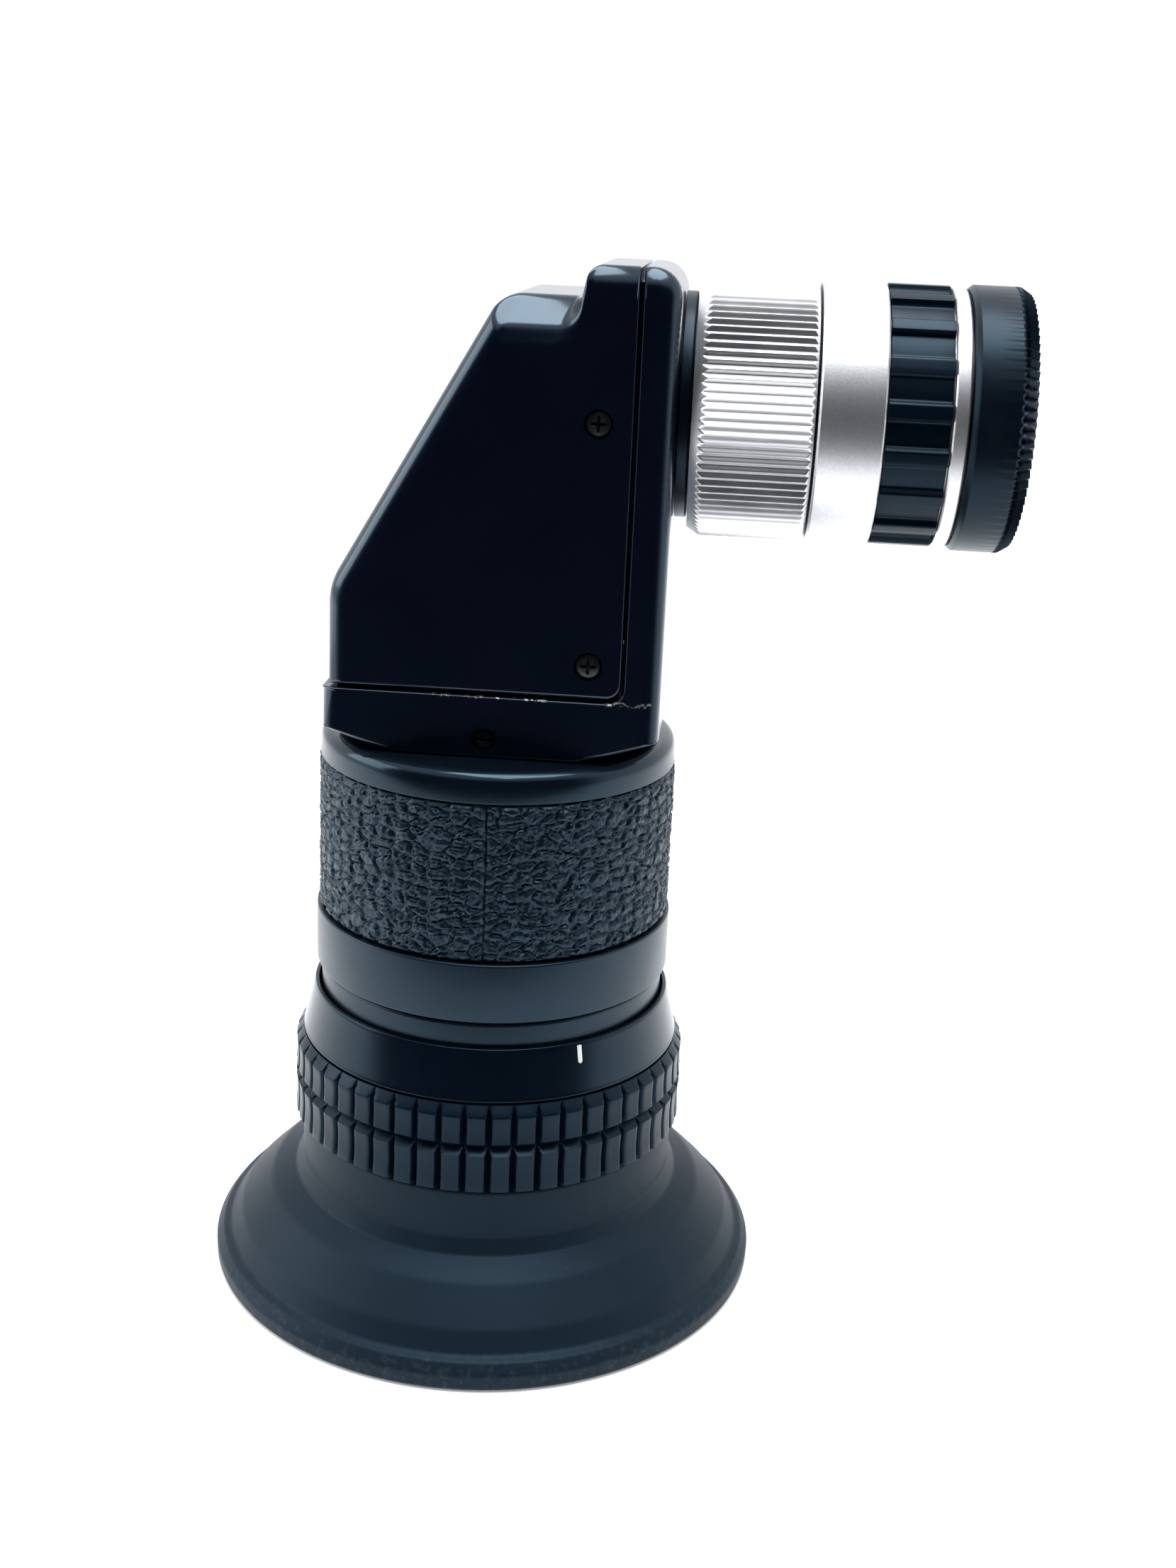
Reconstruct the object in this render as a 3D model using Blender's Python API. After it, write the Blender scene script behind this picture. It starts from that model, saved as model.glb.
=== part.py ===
"""Right-angle viewfinder attachment that stands on its eyecup.

World +Z runs up the eyepiece barrel from the eyecup's rim, and world +X runs along the
camera-side tube. The origin is the middle of the whole model's footprint, on the rim plane.
Driving sizes are in millimetres; shapes are made in metres.
"""
import math

import bmesh
import bpy
from mathutils import Matrix, Vector

MM = 0.001

# Clearances
RUN = 0.08           # radial, between pieces that turn or slide in each other
SEAT = 0.25          # between pieces that rest on or are fixed to each other
SEAM = 0.35          # visible groove between the prism cover and the frame

# Barrel: its radius also drives the rings, the lenses and the eyecup's neck
BARREL_R = 18.0
BARREL_BORE_R = BARREL_R - 3.6
END_RING_R = BARREL_R - 0.65
END_RING_LENGTH = 8.0
END_RING_SHOWN = 2.45  # stands clear above the dioptre cone at mid travel
BAND_HEIGHT = 6.15
WRAP_HEIGHT = 15.6
WRAP_THICKNESS = 0.6
WRAP_SUNK = 0.3       # the wrap lies this much inside the bands
WRAP_SEAM = 0.15
WRAP_SEAM_AZIMUTH = 273.5
FLANGE_HEIGHT = 3.1
FLANGE_ROUND = 1.1
SPIGOT_R = 9.5
SPIGOT_LENGTH = 4.0

# Eyecup and dioptre ring
EYECUP_R = 28.5
EYECUP_HEIGHT = 16.0
EYECUP_NECK_R = BARREL_R + 1.4
EYECUP_WALL = 1.6
EYECUP_FOLD = 10.2    # height where the neck meets the bowl
GRIP_R = BARREL_R + 2.15
GRIP_HEIGHT = 9.2
GRIP_DEPTH = 1.2     # rubber thickness over the dioptre sleeve
GRIP_PADS = 52
PAD_DEPTH = 0.55      # height of a pad over the groove between the rows
GROOVE_DEPTH = 0.7    # depth of the grooves between neighbouring pads
CONE_HEIGHT = 5.0
CONE_RIM_R = BARREL_R + 0.15
CONE_RIM_WALL = 0.4
INDEX_LENGTH = 1.7
INDEX_WIDTH = 0.5
INDEX_AZIMUTH = 304.5

# Housing
HOUSING_HALF = 12.85  # half the thickness along Y
BASE_HEIGHT = 6.05
BASE_LEFT = 15.4     # from the barrel axis
BASE_CONE_R = 15.3    # where the underside starts to rise
BASE_CONE_RISE = 0.45
COVER_LEFT = 14.95
COVER_WALL = 1.6
COVER_SEAM_X = 12.65
COVER_CORNER_R = 1.4
WALL_X = 16.2
TUBE_RISE = 26.05      # tube axis above the seam under the cover
TOP_RISE = 12.8       # housing top above the tube axis
STEP_DROP = 2.8       # lower roof step below the top
STEP_X = 7.8          # left end of the upper step
SLOPE_X = 0.3         # where the lower roof meets the slanted back
SLOPE_FOOT = TUBE_RISE - 16.8  # height of the slanted back's foot above the seam
EDGE_ROUND = 2.2
BASE_EDGE_ROUND = 1.5
ROOF_CHAMFER = 2.6    # sloping edge of the lower roof
UPPER_CHAMFER = 1.25

# Camera-side tube
TUBE_R = 12.11
NECK_R = 10.5
NECK_SHOWN = 1.3
KNURL_LENGTH = 10.9
SATIN_LENGTH = 5.87
RIB_LENGTH = 5.86
RIB_R = 12.15
RIB_COUNT = 18
RIB_DEPTH = 0.6
LIP_LENGTH = 1.4
LIP_R = 11.9
NUT_LENGTH = 5.6
NUT_R = 12.24
NUT_BEVEL = 0.7
BEARING_R = 9.8      # the magnification ring turns on this
SWIVEL_R = 9.0        # the mount tube turns on this
NECK_BORE_R = 7.2

# Optics and motion
PRISM_HALF = 7.0
PRISM_HALF_WIDTH = HOUSING_HALF - 6.35
EYE_LENS_R = BARREL_BORE_R - 1.8
DIOPTRE_TRAVEL = 1.5
DIOPTRE_TURN = 60.0
RELAY_TRAVEL = 3.5
RELAY_TURN = 90.0
RELAY_START = 3.2     # relay cell's first face past the neck flange

# Fasteners
COVER_SCREW_HEAD_R = 1.15
COVER_SCREW_SHANK_R = 0.6
COVER_SCREW_INSET = 3.25  # from the seam to the screw axis
COVER_SCREW_LOW = 3.2     # above the seam
COVER_SCREW_HIGH = 25.25
SET_SCREW_R = 0.8
SET_SCREW_RISE = 1.6      # above the underside of the base

# Heights from the eyecup's rim
Z_GRIP = EYECUP_HEIGHT + SEAT
Z_CONE = Z_GRIP + GRIP_HEIGHT
Z_RIM = Z_CONE + CONE_HEIGHT
Z_BAND = Z_RIM + END_RING_SHOWN
Z_WRAP = Z_BAND + BAND_HEIGHT
Z_FLANGE = Z_WRAP + WRAP_HEIGHT
Z_BASE = Z_FLANGE + FLANGE_HEIGHT
Z_SEAM = Z_BASE + BASE_HEIGHT
Z_TUBE = Z_SEAM + TUBE_RISE
Z_TOP = Z_TUBE + TOP_RISE

# Distances along the tube from the barrel axis
X_NECK = WALL_X + NECK_SHOWN
X_KNURL = X_NECK + KNURL_LENGTH
X_SATIN = X_KNURL + SEAT + SATIN_LENGTH
X_RIB = X_SATIN + RIB_LENGTH
X_LIP = X_RIB + LIP_LENGTH
TUBE_END = X_LIP + SEAT + NUT_LENGTH

BARREL_X = (EYECUP_R - TUBE_END) / 2
WRAP_R = BARREL_R - WRAP_SUNK

FINE = 40
SMALL = 32
COARSE = 24


def material(name, color, roughness, metallic=0.0):
    """A Principled material, made once for each name."""
    made = bpy.data.materials.get(name)
    if made:
        return made
    made = bpy.data.materials.new(name)
    made.use_nodes = True
    shader = made.node_tree.nodes["Principled BSDF"]
    shader.inputs["Base Color"].default_value = (*color, 1.0)
    shader.inputs["Roughness"].default_value = roughness
    shader.inputs["Metallic"].default_value = metallic
    return made


FINISHES = {
    "black_paint": ((0.012, 0.013, 0.015), 0.25, 0.0),
    "black_anodised": ((0.02, 0.022, 0.025), 0.4, 0.6),
    "rubber": ((0.02, 0.024, 0.028), 0.75, 0.0),
    "leatherette": ((0.015, 0.017, 0.02), 0.6, 0.0),
    "satin_chrome": ((0.75, 0.75, 0.77), 0.3, 1.0),
    "bright_aluminium": ((0.8, 0.8, 0.8), 0.25, 1.0),
    "lens_glass": ((0.9, 0.95, 1.0), 0.02, 0.0),
    "screw_steel": ((0.05, 0.05, 0.055), 0.35, 1.0),
    "brass": ((0.6, 0.45, 0.2), 0.35, 1.0),
    "spring_steel": ((0.5, 0.5, 0.52), 0.3, 1.0),
    "white_fill": ((0.85, 0.85, 0.83), 0.5, 0.0),
}


def empty(name, position, parent=None):
    """A guide point that moving pieces hang from; position is in millimetres in the world."""
    point = bpy.data.objects.new(name, None)
    bpy.context.collection.objects.link(point)
    point.empty_display_size = 0.005
    base = Vector(parent["place"]) if parent else Vector((0, 0, 0))
    point.parent = parent
    point.location = (Vector(position) - base) * MM
    point["place"] = tuple(position)
    return point


def link(name, mesh, parent, axis="Z", at=(0, 0, 0)):
    """Link a mesh as an object, at a point in millimetres from its parent empty."""
    part = bpy.data.objects.new(name, mesh)
    bpy.context.collection.objects.link(part)
    part.parent = parent
    part.location = Vector(at) * MM
    if axis == "X":
        part.rotation_euler = (0, math.pi / 2, 0)
    return part


def place(name, mesh, finish, parent, axis="Z", at=(0, 0, 0)):
    """Link a mesh as the sub-part NAME with its finish."""
    mesh.materials.append(material(finish, *FINISHES[finish]))
    return link(name, mesh, parent, axis, at)


def finish_mesh(bm, name, smooth=True):
    """Turn a bmesh into a mesh with outward faces."""
    bmesh.ops.remove_doubles(bm, verts=bm.verts, dist=0.000001)
    bmesh.ops.recalc_face_normals(bm, faces=bm.faces)
    mesh = bpy.data.meshes.new(name)
    bm.to_mesh(mesh)
    bm.free()
    if smooth:
        mesh.shade_smooth()
        mesh.set_sharp_from_angle(angle=math.radians(35))
    return mesh


def turned(name, profile, segments=FINE, closed=True):
    """Spin a profile of (radius, height) points in millimetres about the local Z axis.

    A closed profile makes a ring. An open one starts and ends on the axis and makes a disc.
    """
    bm = bmesh.new()
    verts = [bm.verts.new((r * MM, 0, z * MM)) for r, z in profile]
    edges = [bm.edges.new(pair) for pair in zip(verts, verts[1:])]
    if closed:
        edges.append(bm.edges.new((verts[-1], verts[0])))
    bmesh.ops.spin(bm, geom=verts + edges, cent=(0, 0, 0), axis=(0, 0, 1),
                   angle=math.tau, steps=segments, use_merge=True)
    return finish_mesh(bm, name)


def tube_profile(outer, inner, low, high):
    """A plain ring's closed profile, from its two radii and two heights."""
    return [(outer, high), (outer, low), (inner, low), (inner, high)]


def lens(name, radius, low_rim, high_rim, low_bulge, high_bulge, steps=2):
    """A lens: two bulging faces, or hollow ones where a bulge is negative, and a straight ground edge."""
    points = [(0, low_rim - low_bulge)]
    for i in range(1, steps + 1):
        t = i / steps
        points.append((radius * t, low_rim - low_bulge * (1 - t * t)))
    for i in range(steps, 0, -1):
        t = i / steps
        points.append((radius * t, high_rim + high_bulge * (1 - t * t)))
    points.append((0, high_rim + high_bulge))
    return turned(name, points, COARSE, closed=False)


def extruded(name, outline, low, high, plane="XZ", smooth=False):
    """Extrude a closed outline in millimetres between two values of the missing axis."""
    def corner(point, depth):
        u, v = point
        if plane == "XZ":
            return Vector((u, depth, v)) * MM
        if plane == "YZ":
            return Vector((depth, u, v)) * MM
        return Vector((u, v, depth)) * MM

    bm = bmesh.new()
    first = [bm.verts.new(corner(p, low)) for p in outline]
    face = bm.faces.new(first)
    grown = bmesh.ops.extrude_face_region(bm, geom=[face])["geom"]
    new = [item for item in grown if isinstance(item, bmesh.types.BMVert)]
    bmesh.ops.translate(bm, verts=new, vec=corner((0, 0), high - low))
    return finish_mesh(bm, name, smooth)


def arc(center, radius, start, end, steps=3):
    """Points on an arc, angles in degrees."""
    points = []
    for i in range(steps + 1):
        angle = math.radians(start + (end - start) * i / steps)
        points.append((center[0] + radius * math.cos(angle), center[1] + radius * math.sin(angle)))
    return points


def combine(part, tool, operation="DIFFERENCE"):
    """Boolean a hidden helper object into a part."""
    change = part.modifiers.new(tool.name, "BOOLEAN")
    change.operation = operation
    change.object = tool
    change.solver = "EXACT"


def helper(name, mesh, parent, axis="Z", at=(0, 0, 0)):
    """A cutter or joined lump, placed like a part and hidden."""
    tool = link(name, mesh, parent, axis, at)
    tool.hide_render = True
    tool.display_type = "WIRE"
    return tool


def peg(name, radius, start, end, segments=16):
    """A cylinder along local Z between two heights."""
    return turned(name, [(0, start), (radius, start), (radius, end), (0, end)], segments, closed=False)


def along(direction):
    """The rotation that turns local +Z to a direction."""
    return Vector(direction).to_track_quat("Z", "Y").to_euler()


# Clear the scene
for old in list(bpy.data.objects):
    bpy.data.objects.remove(old, do_unlink=True)

finder = empty("finder_frame", (BARREL_X, 0, 0))
eyepiece = empty("eyepiece_slide", (BARREL_X, 0, 0), finder)
dioptre = empty("dioptre_axis", (BARREL_X, 0, 0), eyepiece)
tube = empty("tube_axis", (BARREL_X, 0, Z_TUBE), finder)
relay = empty("relay_slide", (BARREL_X, 0, Z_TUBE), finder)
magnification = empty("magnification_axis", (BARREL_X, 0, Z_TUBE), finder)
mount = empty("mount_axis", (BARREL_X, 0, Z_TUBE), finder)
nut = empty("nut_axis", (BARREL_X, 0, Z_TUBE), mount)

# How far each of them moves, each way from rest for the dioptre and one way for the relay
eyepiece["travel_mm"] = DIOPTRE_TRAVEL
dioptre["turn_degrees"] = DIOPTRE_TURN
relay["travel_mm"] = RELAY_TRAVEL
magnification["turn_degrees"] = RELAY_TURN


# ---- Eyecup, carried by the sliding eyepiece ----
TUBE_FOOT_R = BARREL_BORE_R + 1.2                 # eyepiece tube below the barrel
CLAMP_R = EYECUP_NECK_R - EYECUP_WALL + 0.2
CLAMP_LOW = EYECUP_HEIGHT - 3.0
CUP_HOOK_LOW = CLAMP_LOW - SEAT - 1.7


def eyecup_profile():
    """Neck, fold, convex bowl and thick lip, then back up the inside."""
    r, wall, fold = EYECUP_R, EYECUP_WALL, EYECUP_FOLD
    span = r - EYECUP_NECK_R
    outer = [(EYECUP_NECK_R, EYECUP_HEIGHT), (EYECUP_NECK_R, fold + 0.7), (EYECUP_NECK_R + 0.4, fold)]
    outer += [(EYECUP_NECK_R + span * t, fold * (1 - t ** 1.25)) for t in (0.22, 0.42, 0.6, 0.76)]
    outer += [(r - 0.9, fold * 0.2), (r - 0.25, 1.4), (r, 0.6), (r - 0.35, 0.0)]
    inner = [(r - wall, 0.0)]
    inner += [(EYECUP_NECK_R - wall + span * t, fold * (1 - t ** 1.25) - 0.7) for t in (0.8, 0.6, 0.35, 0.1)]
    inner += [(EYECUP_NECK_R - wall - 0.4, CUP_HOOK_LOW), (TUBE_FOOT_R + 0.5, CUP_HOOK_LOW)]
    inner += [(TUBE_FOOT_R + 0.5, CUP_HOOK_LOW + 1.6), (CLAMP_R + SEAT, CUP_HOOK_LOW + 1.6)]
    inner += [(CLAMP_R + SEAT, EYECUP_HEIGHT)]
    return outer + inner


place("eyecup", turned("eyecup", eyecup_profile()), "rubber", eyepiece)

clamp_profile = tube_profile(CLAMP_R, TUBE_FOOT_R + SEAT, CLAMP_LOW, EYECUP_HEIGHT - 0.1)
place("eyecup_clamp_ring", turned("eyecup_clamp_ring", clamp_profile, SMALL), "black_anodised", eyepiece)

# ---- Dioptre ring: cone, rubber grip and index mark ----
SLEEVE_R = GRIP_R - GRIP_DEPTH - SEAT
WEB_TOP = Z_GRIP + 3.0
CONE_FOOT_R = SLEEVE_R + 0.55
CONE_BORE_R = CONE_RIM_R - CONE_RIM_WALL


def cone_profile():
    """A conical rim over a plain sleeve, with an inner web that turns on the eyepiece tube."""
    return [
        (CONE_RIM_R - 0.12, Z_RIM), (CONE_RIM_R, Z_RIM - 0.15), (CONE_FOOT_R, Z_CONE + 0.12),
        (CONE_FOOT_R, Z_CONE), (SLEEVE_R, Z_CONE), (SLEEVE_R, Z_GRIP + 0.1), (TUBE_FOOT_R + RUN, Z_GRIP + 0.1),
        (TUBE_FOOT_R + RUN, WEB_TOP), (CONE_BORE_R - 0.4, WEB_TOP), (CONE_BORE_R, WEB_TOP + 0.5),
        (CONE_BORE_R, Z_RIM),
    ]


cone = place("dioptre_cone", turned("dioptre_cone", cone_profile()), "black_anodised", dioptre)


def grip_mesh():
    """Two rows of pads round a sleeve: rings of points that go in at each groove between the pads.

    The solid has one pad for every two of the real ring.
    """
    top, low = Z_CONE - SEAT, Z_GRIP
    middle = (top + low) / 2
    root, floor, bore = GRIP_R - PAD_DEPTH, GRIP_R - GROOVE_DEPTH, GRIP_R - GRIP_DEPTH
    levels = [(low, root, floor), (low + 0.5, GRIP_R, floor), (middle - 0.4, GRIP_R, floor), (middle, root, floor),
              (middle + 0.4, GRIP_R, floor), (top - 0.9, GRIP_R, floor), (top, floor, floor),
              (top, bore, bore), (low, bore, bore)]
    count = GRIP_PADS // 2
    bm = bmesh.new()
    rings = []
    for height, pad, groove in levels:
        ring = []
        for i in range(count):
            for share, radius in ((-0.5, groove), (-0.38, pad), (0.38, pad)):
                angle = math.tau * (i + share) / count
                spot = Vector((radius * math.cos(angle), radius * math.sin(angle), height))
                ring.append(bm.verts.new(spot * MM))
        rings.append(ring)
    total = len(rings[0])
    for a, b in zip(rings, rings[1:] + rings[:1]):
        for i in range(total):
            j = (i + 1) % total
            bm.faces.new((a[i], a[j], b[j], b[i]))
    return finish_mesh(bm, "dioptre_grip", smooth=False)


place("dioptre_grip", grip_mesh(), "rubber", dioptre)

# The index mark lies in a shallow slot cut down the cone from its rim.
index_turn = math.radians(INDEX_AZIMUTH)
cone_slope = math.atan2(CONE_FOOT_R - CONE_RIM_R, Z_RIM - Z_CONE)


def index_block(name, length, width, depth, lift):
    """A small bar along the cone's surface at the index azimuth."""
    bm = bmesh.new()
    bmesh.ops.create_cube(bm, size=1.0)
    bmesh.ops.scale(bm, vec=Vector((depth, width, length)) * MM, verts=bm.verts)
    lean = Matrix.Rotation(-cone_slope, 4, "Y")
    bmesh.ops.transform(bm, matrix=lean, verts=bm.verts)
    half = INDEX_LENGTH / 2
    middle = Vector((CONE_RIM_R + math.tan(cone_slope) * half + lift, 0, Z_RIM - half - 0.1))
    bmesh.ops.translate(bm, verts=bm.verts, vec=middle * MM)
    bmesh.ops.rotate(bm, verts=bm.verts, cent=(0, 0, 0), matrix=Matrix.Rotation(index_turn, 3, "Z"))
    return finish_mesh(bm, name, smooth=False)


INDEX_SLOT_DEPTH = 0.16
INDEX_PLAY = 0.06
index_slot = index_block("index_slot", INDEX_LENGTH, INDEX_WIDTH, 2 * INDEX_SLOT_DEPTH, 0.0)
combine(cone, helper("index_slot", index_slot, dioptre))
index_fill = index_block("index_mark", INDEX_LENGTH - INDEX_PLAY, INDEX_WIDTH - INDEX_PLAY, INDEX_SLOT_DEPTH - 0.05,
                         -0.04)
place("index_mark", index_fill, "white_fill", dioptre)

# ---- Eyepiece tube with its lenses ----
TUBE_LOW = CLAMP_LOW - 0.2
SHOULDER_LOW = WEB_TOP + RUN
SHOULDER_HIGH = SHOULDER_LOW + 1.2
SHOULDER_R = CONE_BORE_R - 1.0
CARRIAGE_R = BARREL_BORE_R - RUN
CARRIAGE_TOP = Z_WRAP + WRAP_HEIGHT - 8.0
LENS_BORE_R = EYE_LENS_R + 0.1
LENS_STOP = CARRIAGE_TOP - 9.6
PIN_Z = CARRIAGE_TOP - 4.0
PIN_R = 0.85

carriage_profile = [
    (TUBE_FOOT_R, TUBE_LOW), (LENS_BORE_R, TUBE_LOW), (LENS_BORE_R, LENS_STOP), (LENS_BORE_R - 1.6, LENS_STOP),
    (LENS_BORE_R - 1.6, CARRIAGE_TOP), (CARRIAGE_R, CARRIAGE_TOP), (CARRIAGE_R, SHOULDER_HIGH),
    (SHOULDER_R, SHOULDER_HIGH), (SHOULDER_R, SHOULDER_LOW), (TUBE_FOOT_R, SHOULDER_LOW),
]
carriage = place("eyepiece_tube", turned("eyepiece_tube", carriage_profile), "black_anodised", eyepiece)
pin_drill = peg("pin_hole", PIN_R + 0.12, LENS_BORE_R - 0.9, CARRIAGE_R + 2, 16)
pin_hole = helper("pin_hole", pin_drill, eyepiece, at=(0, 0, PIN_Z))
pin_hole.rotation_euler = along((0, 1, 0))
combine(carriage, pin_hole)
pin_mesh = peg("guide_pin", PIN_R, LENS_BORE_R - 0.6, BARREL_BORE_R + 0.95, 12)
guide_pin = place("guide_pin", pin_mesh, "brass", eyepiece, at=(0, 0, PIN_Z))
guide_pin.rotation_euler = along((0, 1, 0))

EYE_LENS_LOW = TUBE_LOW + 2.2
SPACER_LOW = EYE_LENS_LOW + 3.4
DOUBLET_LOW = LENS_STOP - 6.6
retainer_profile = tube_profile(LENS_BORE_R - 0.08, LENS_BORE_R - 1.8, TUBE_LOW + 0.3, EYE_LENS_LOW - SEAT)
place("lens_retaining_ring", turned("lens_retaining_ring", retainer_profile, COARSE), "black_anodised", eyepiece)
first_lens = lens("eye_lens", EYE_LENS_R, EYE_LENS_LOW, SPACER_LOW - 3 * SEAT, 0.0, 2.4)
place("eye_lens", first_lens, "lens_glass", eyepiece)
spacer_profile = tube_profile(LENS_BORE_R - 0.1, LENS_BORE_R - 1.3, SPACER_LOW, DOUBLET_LOW - SEAT)
place("lens_spacer", turned("lens_spacer", spacer_profile, COARSE), "black_anodised", eyepiece)
second_lens = lens("doublet_lens", EYE_LENS_R, DOUBLET_LOW, LENS_STOP - 3 * SEAT, -1.0, 1.6)
place("doublet_lens", second_lens, "lens_glass", eyepiece)

# ---- Barrel ----
SPIGOT_BORE_R = SPIGOT_R - 1.5
FLANGE_TOP = Z_BASE - 0.1
SPIGOT_TOP = FLANGE_TOP + SPIGOT_LENGTH
BORE_TOP = Z_FLANGE - 0.6
THREAD_R = BARREL_R - 2.0
END_RING_LOW = Z_BAND - END_RING_LENGTH
FIELD_STOP = FLANGE_TOP + 0.2
RECESS_R = WRAP_R - WRAP_THICKNESS - 0.1

barrel_profile = [
    (SPIGOT_R, SPIGOT_TOP), (SPIGOT_R, FLANGE_TOP),
    (WRAP_R - FLANGE_ROUND, FLANGE_TOP), (WRAP_R - 0.3 * FLANGE_ROUND, FLANGE_TOP - 0.35 * FLANGE_ROUND),
    (WRAP_R, FLANGE_TOP - FLANGE_ROUND), (WRAP_R, Z_FLANGE + 0.1),
    (RECESS_R, Z_FLANGE + 0.1), (RECESS_R, Z_WRAP - 0.1),
    (BARREL_R, Z_WRAP - 0.1), (BARREL_R, Z_BAND + 0.12), (THREAD_R, Z_BAND + 0.12), (THREAD_R, END_RING_LOW + 2.0),
    (BARREL_BORE_R, END_RING_LOW + 2.0), (BARREL_BORE_R, BORE_TOP), (SPIGOT_BORE_R - 0.9, BORE_TOP),
    (SPIGOT_BORE_R - 0.9, FIELD_STOP), (SPIGOT_BORE_R, FIELD_STOP), (SPIGOT_BORE_R, SPIGOT_TOP),
]
barrel = place("barrel_tube", turned("barrel_tube", barrel_profile), "black_anodised", finder)
slot_reach = BARREL_BORE_R + 1.25
slot_half = DIOPTRE_TRAVEL + PIN_R + 0.5
guide_side = PIN_R + 0.25
guide_outline = [(-guide_side, PIN_Z - slot_half), (guide_side, PIN_Z - slot_half),
                 (guide_side, PIN_Z + slot_half), (-guide_side, PIN_Z + slot_half)]
guide_slot = extruded("guide_slot", guide_outline, BARREL_BORE_R - 2, slot_reach)
combine(barrel, helper("guide_slot", guide_slot, finder))

end_ring_profile = [
    (END_RING_R + 0.15, Z_BAND - 0.12), (END_RING_R, Z_BAND - 0.5), (END_RING_R, END_RING_LOW),
    (BARREL_BORE_R + 0.2, END_RING_LOW), (BARREL_BORE_R + 0.2, END_RING_LOW + 1.7),
    (THREAD_R + SEAT, END_RING_LOW + 1.7), (THREAD_R + SEAT, Z_BAND - 0.12),
]
place("barrel_end_ring", turned("barrel_end_ring", end_ring_profile), "black_anodised", finder)


def wrap_mesh():
    """A sheet bent round the barrel, its two ends nearly meeting at the seam."""
    inner, outer = RECESS_R + 0.1, WRAP_R
    half = math.degrees(WRAP_SEAM / 2 / WRAP_R)
    start, end = WRAP_SEAM_AZIMUTH + half, WRAP_SEAM_AZIMUTH + 360 - half
    outline = arc((0, 0), outer, start, end, FINE) + arc((0, 0), inner, end, start, FINE)
    return extruded("leatherette_wrap", outline, Z_WRAP + 0.05, Z_FLANGE - 0.05, plane="XY")


place("leatherette_wrap", wrap_mesh(), "leatherette", finder)

FIELD_TOP = SPIGOT_TOP - 1.2
place("field_lens", lens("field_lens", SPIGOT_BORE_R - 0.15, FIELD_STOP + SEAT, FIELD_TOP - SEAT, 0.0, 0.5),
      "lens_glass", finder)
field_ring_profile = tube_profile(SPIGOT_BORE_R - 0.08, SPIGOT_BORE_R - 1.3, FIELD_TOP, SPIGOT_TOP - 0.2)
place("field_lens_ring", turned("field_lens_ring", field_ring_profile, COARSE), "black_anodised", finder)


# ---- Housing frame: base and camera-side wall in one casting ----
COVER_FOOT = Z_SEAM + SEAM / 2
COVER_RIGHT = COVER_SEAM_X - SEAM / 2
FRAME_SHELF = Z_SEAM - SEAM / 2
FRAME_FACE = COVER_SEAM_X + SEAM / 2
STEP_TOP = Z_TOP - STEP_DROP
WALL_CORNER_R = 2.5
STEP_LEAN = 0.5       # how far the step's riser leans to the left at its foot
CUT_PAST = 3.0        # a cutter runs this far past an open side


def bevelled(part, test, width, segments=3):
    """Bevel the edges whose two ends pass a test, by edge weight."""
    mesh = part.data
    weights = mesh.attributes.new("bevel_weight_edge", "FLOAT", "EDGE")
    for edge in mesh.edges:
        a, b = (mesh.vertices[i].co / MM for i in edge.vertices)
        weights.data[edge.index].value = 1.0 if test(a, b) else 0.0
    bevel = part.modifiers.new("edge_round", "BEVEL")
    bevel.limit_method = "WEIGHT"
    bevel.width = width * MM
    bevel.segments = segments
    bevel.use_clamp_overlap = True
    return bevel


def same_side(a, b):
    """Both ends lie on one of the two large faces."""
    return abs(a.y - b.y) < 0.01 and abs(abs(a.y) - HOUSING_HALF) < 0.01


def frame_outline():
    """The L of base and wall, seen from the front."""
    points = [(-BASE_LEFT, Z_BASE), (WALL_X, Z_BASE)]
    points += arc((WALL_X - WALL_CORNER_R, Z_TOP - WALL_CORNER_R), WALL_CORNER_R, 0, 90, 4)
    points += [(FRAME_FACE, Z_TOP)]
    corner = COVER_CORNER_R
    points += arc((FRAME_FACE - corner, FRAME_SHELF + corner), corner, 0, -90, 3)
    points += [(-BASE_LEFT, FRAME_SHELF)]
    return points


frame_mesh = extruded("housing_frame", frame_outline(), -HOUSING_HALF, HOUSING_HALF)
frame = place("housing_frame", frame_mesh, "black_paint", finder)


def frame_round_edge(a, b):
    """The wall's outer and top edges are rounded; the seam and underside stay crisp."""
    if not same_side(a, b):
        return False
    right = min(a.x, b.x) > WALL_X - WALL_CORNER_R - 0.01 and abs(a.z - b.z) > 0.01
    top = min(a.z, b.z) > Z_TOP - 0.01
    left = max(a.x, b.x) < -BASE_LEFT + 0.01
    return right or top or left


bevelled(frame, frame_round_edge, BASE_EDGE_ROUND)

UNDERCUT_WIDTH = 8.0
undercut_out = BASE_CONE_R + UNDERCUT_WIDTH
undercut_profile = [(BASE_CONE_R, Z_BASE - 2), (BASE_CONE_R, Z_BASE),
                    (undercut_out, Z_BASE + UNDERCUT_WIDTH * BASE_CONE_RISE), (undercut_out, Z_BASE - 2)]
combine(frame, helper("base_undercut", turned("base_undercut", undercut_profile), finder))
combine(frame, helper("spigot_bore", peg("spigot_bore", SPIGOT_R + SEAT, Z_BASE - 3, Z_SEAM + 3, SMALL), finder))
NECK_THREAD_R = NECK_BORE_R + 1.2

LUG_OUT = HOUSING_HALF - COVER_WALL - SEAT
LUG_IN = LUG_OUT - 2.8
LUG_LEFT = COVER_SEAM_X - COVER_SCREW_INSET - 1.5
screw_x = COVER_SEAM_X - COVER_SCREW_INSET
screw_heights = {"lower": Z_SEAM + COVER_SCREW_LOW, "upper": Z_SEAM + COVER_SCREW_HIGH}
sides = {"front": -1, "back": 1}

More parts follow.
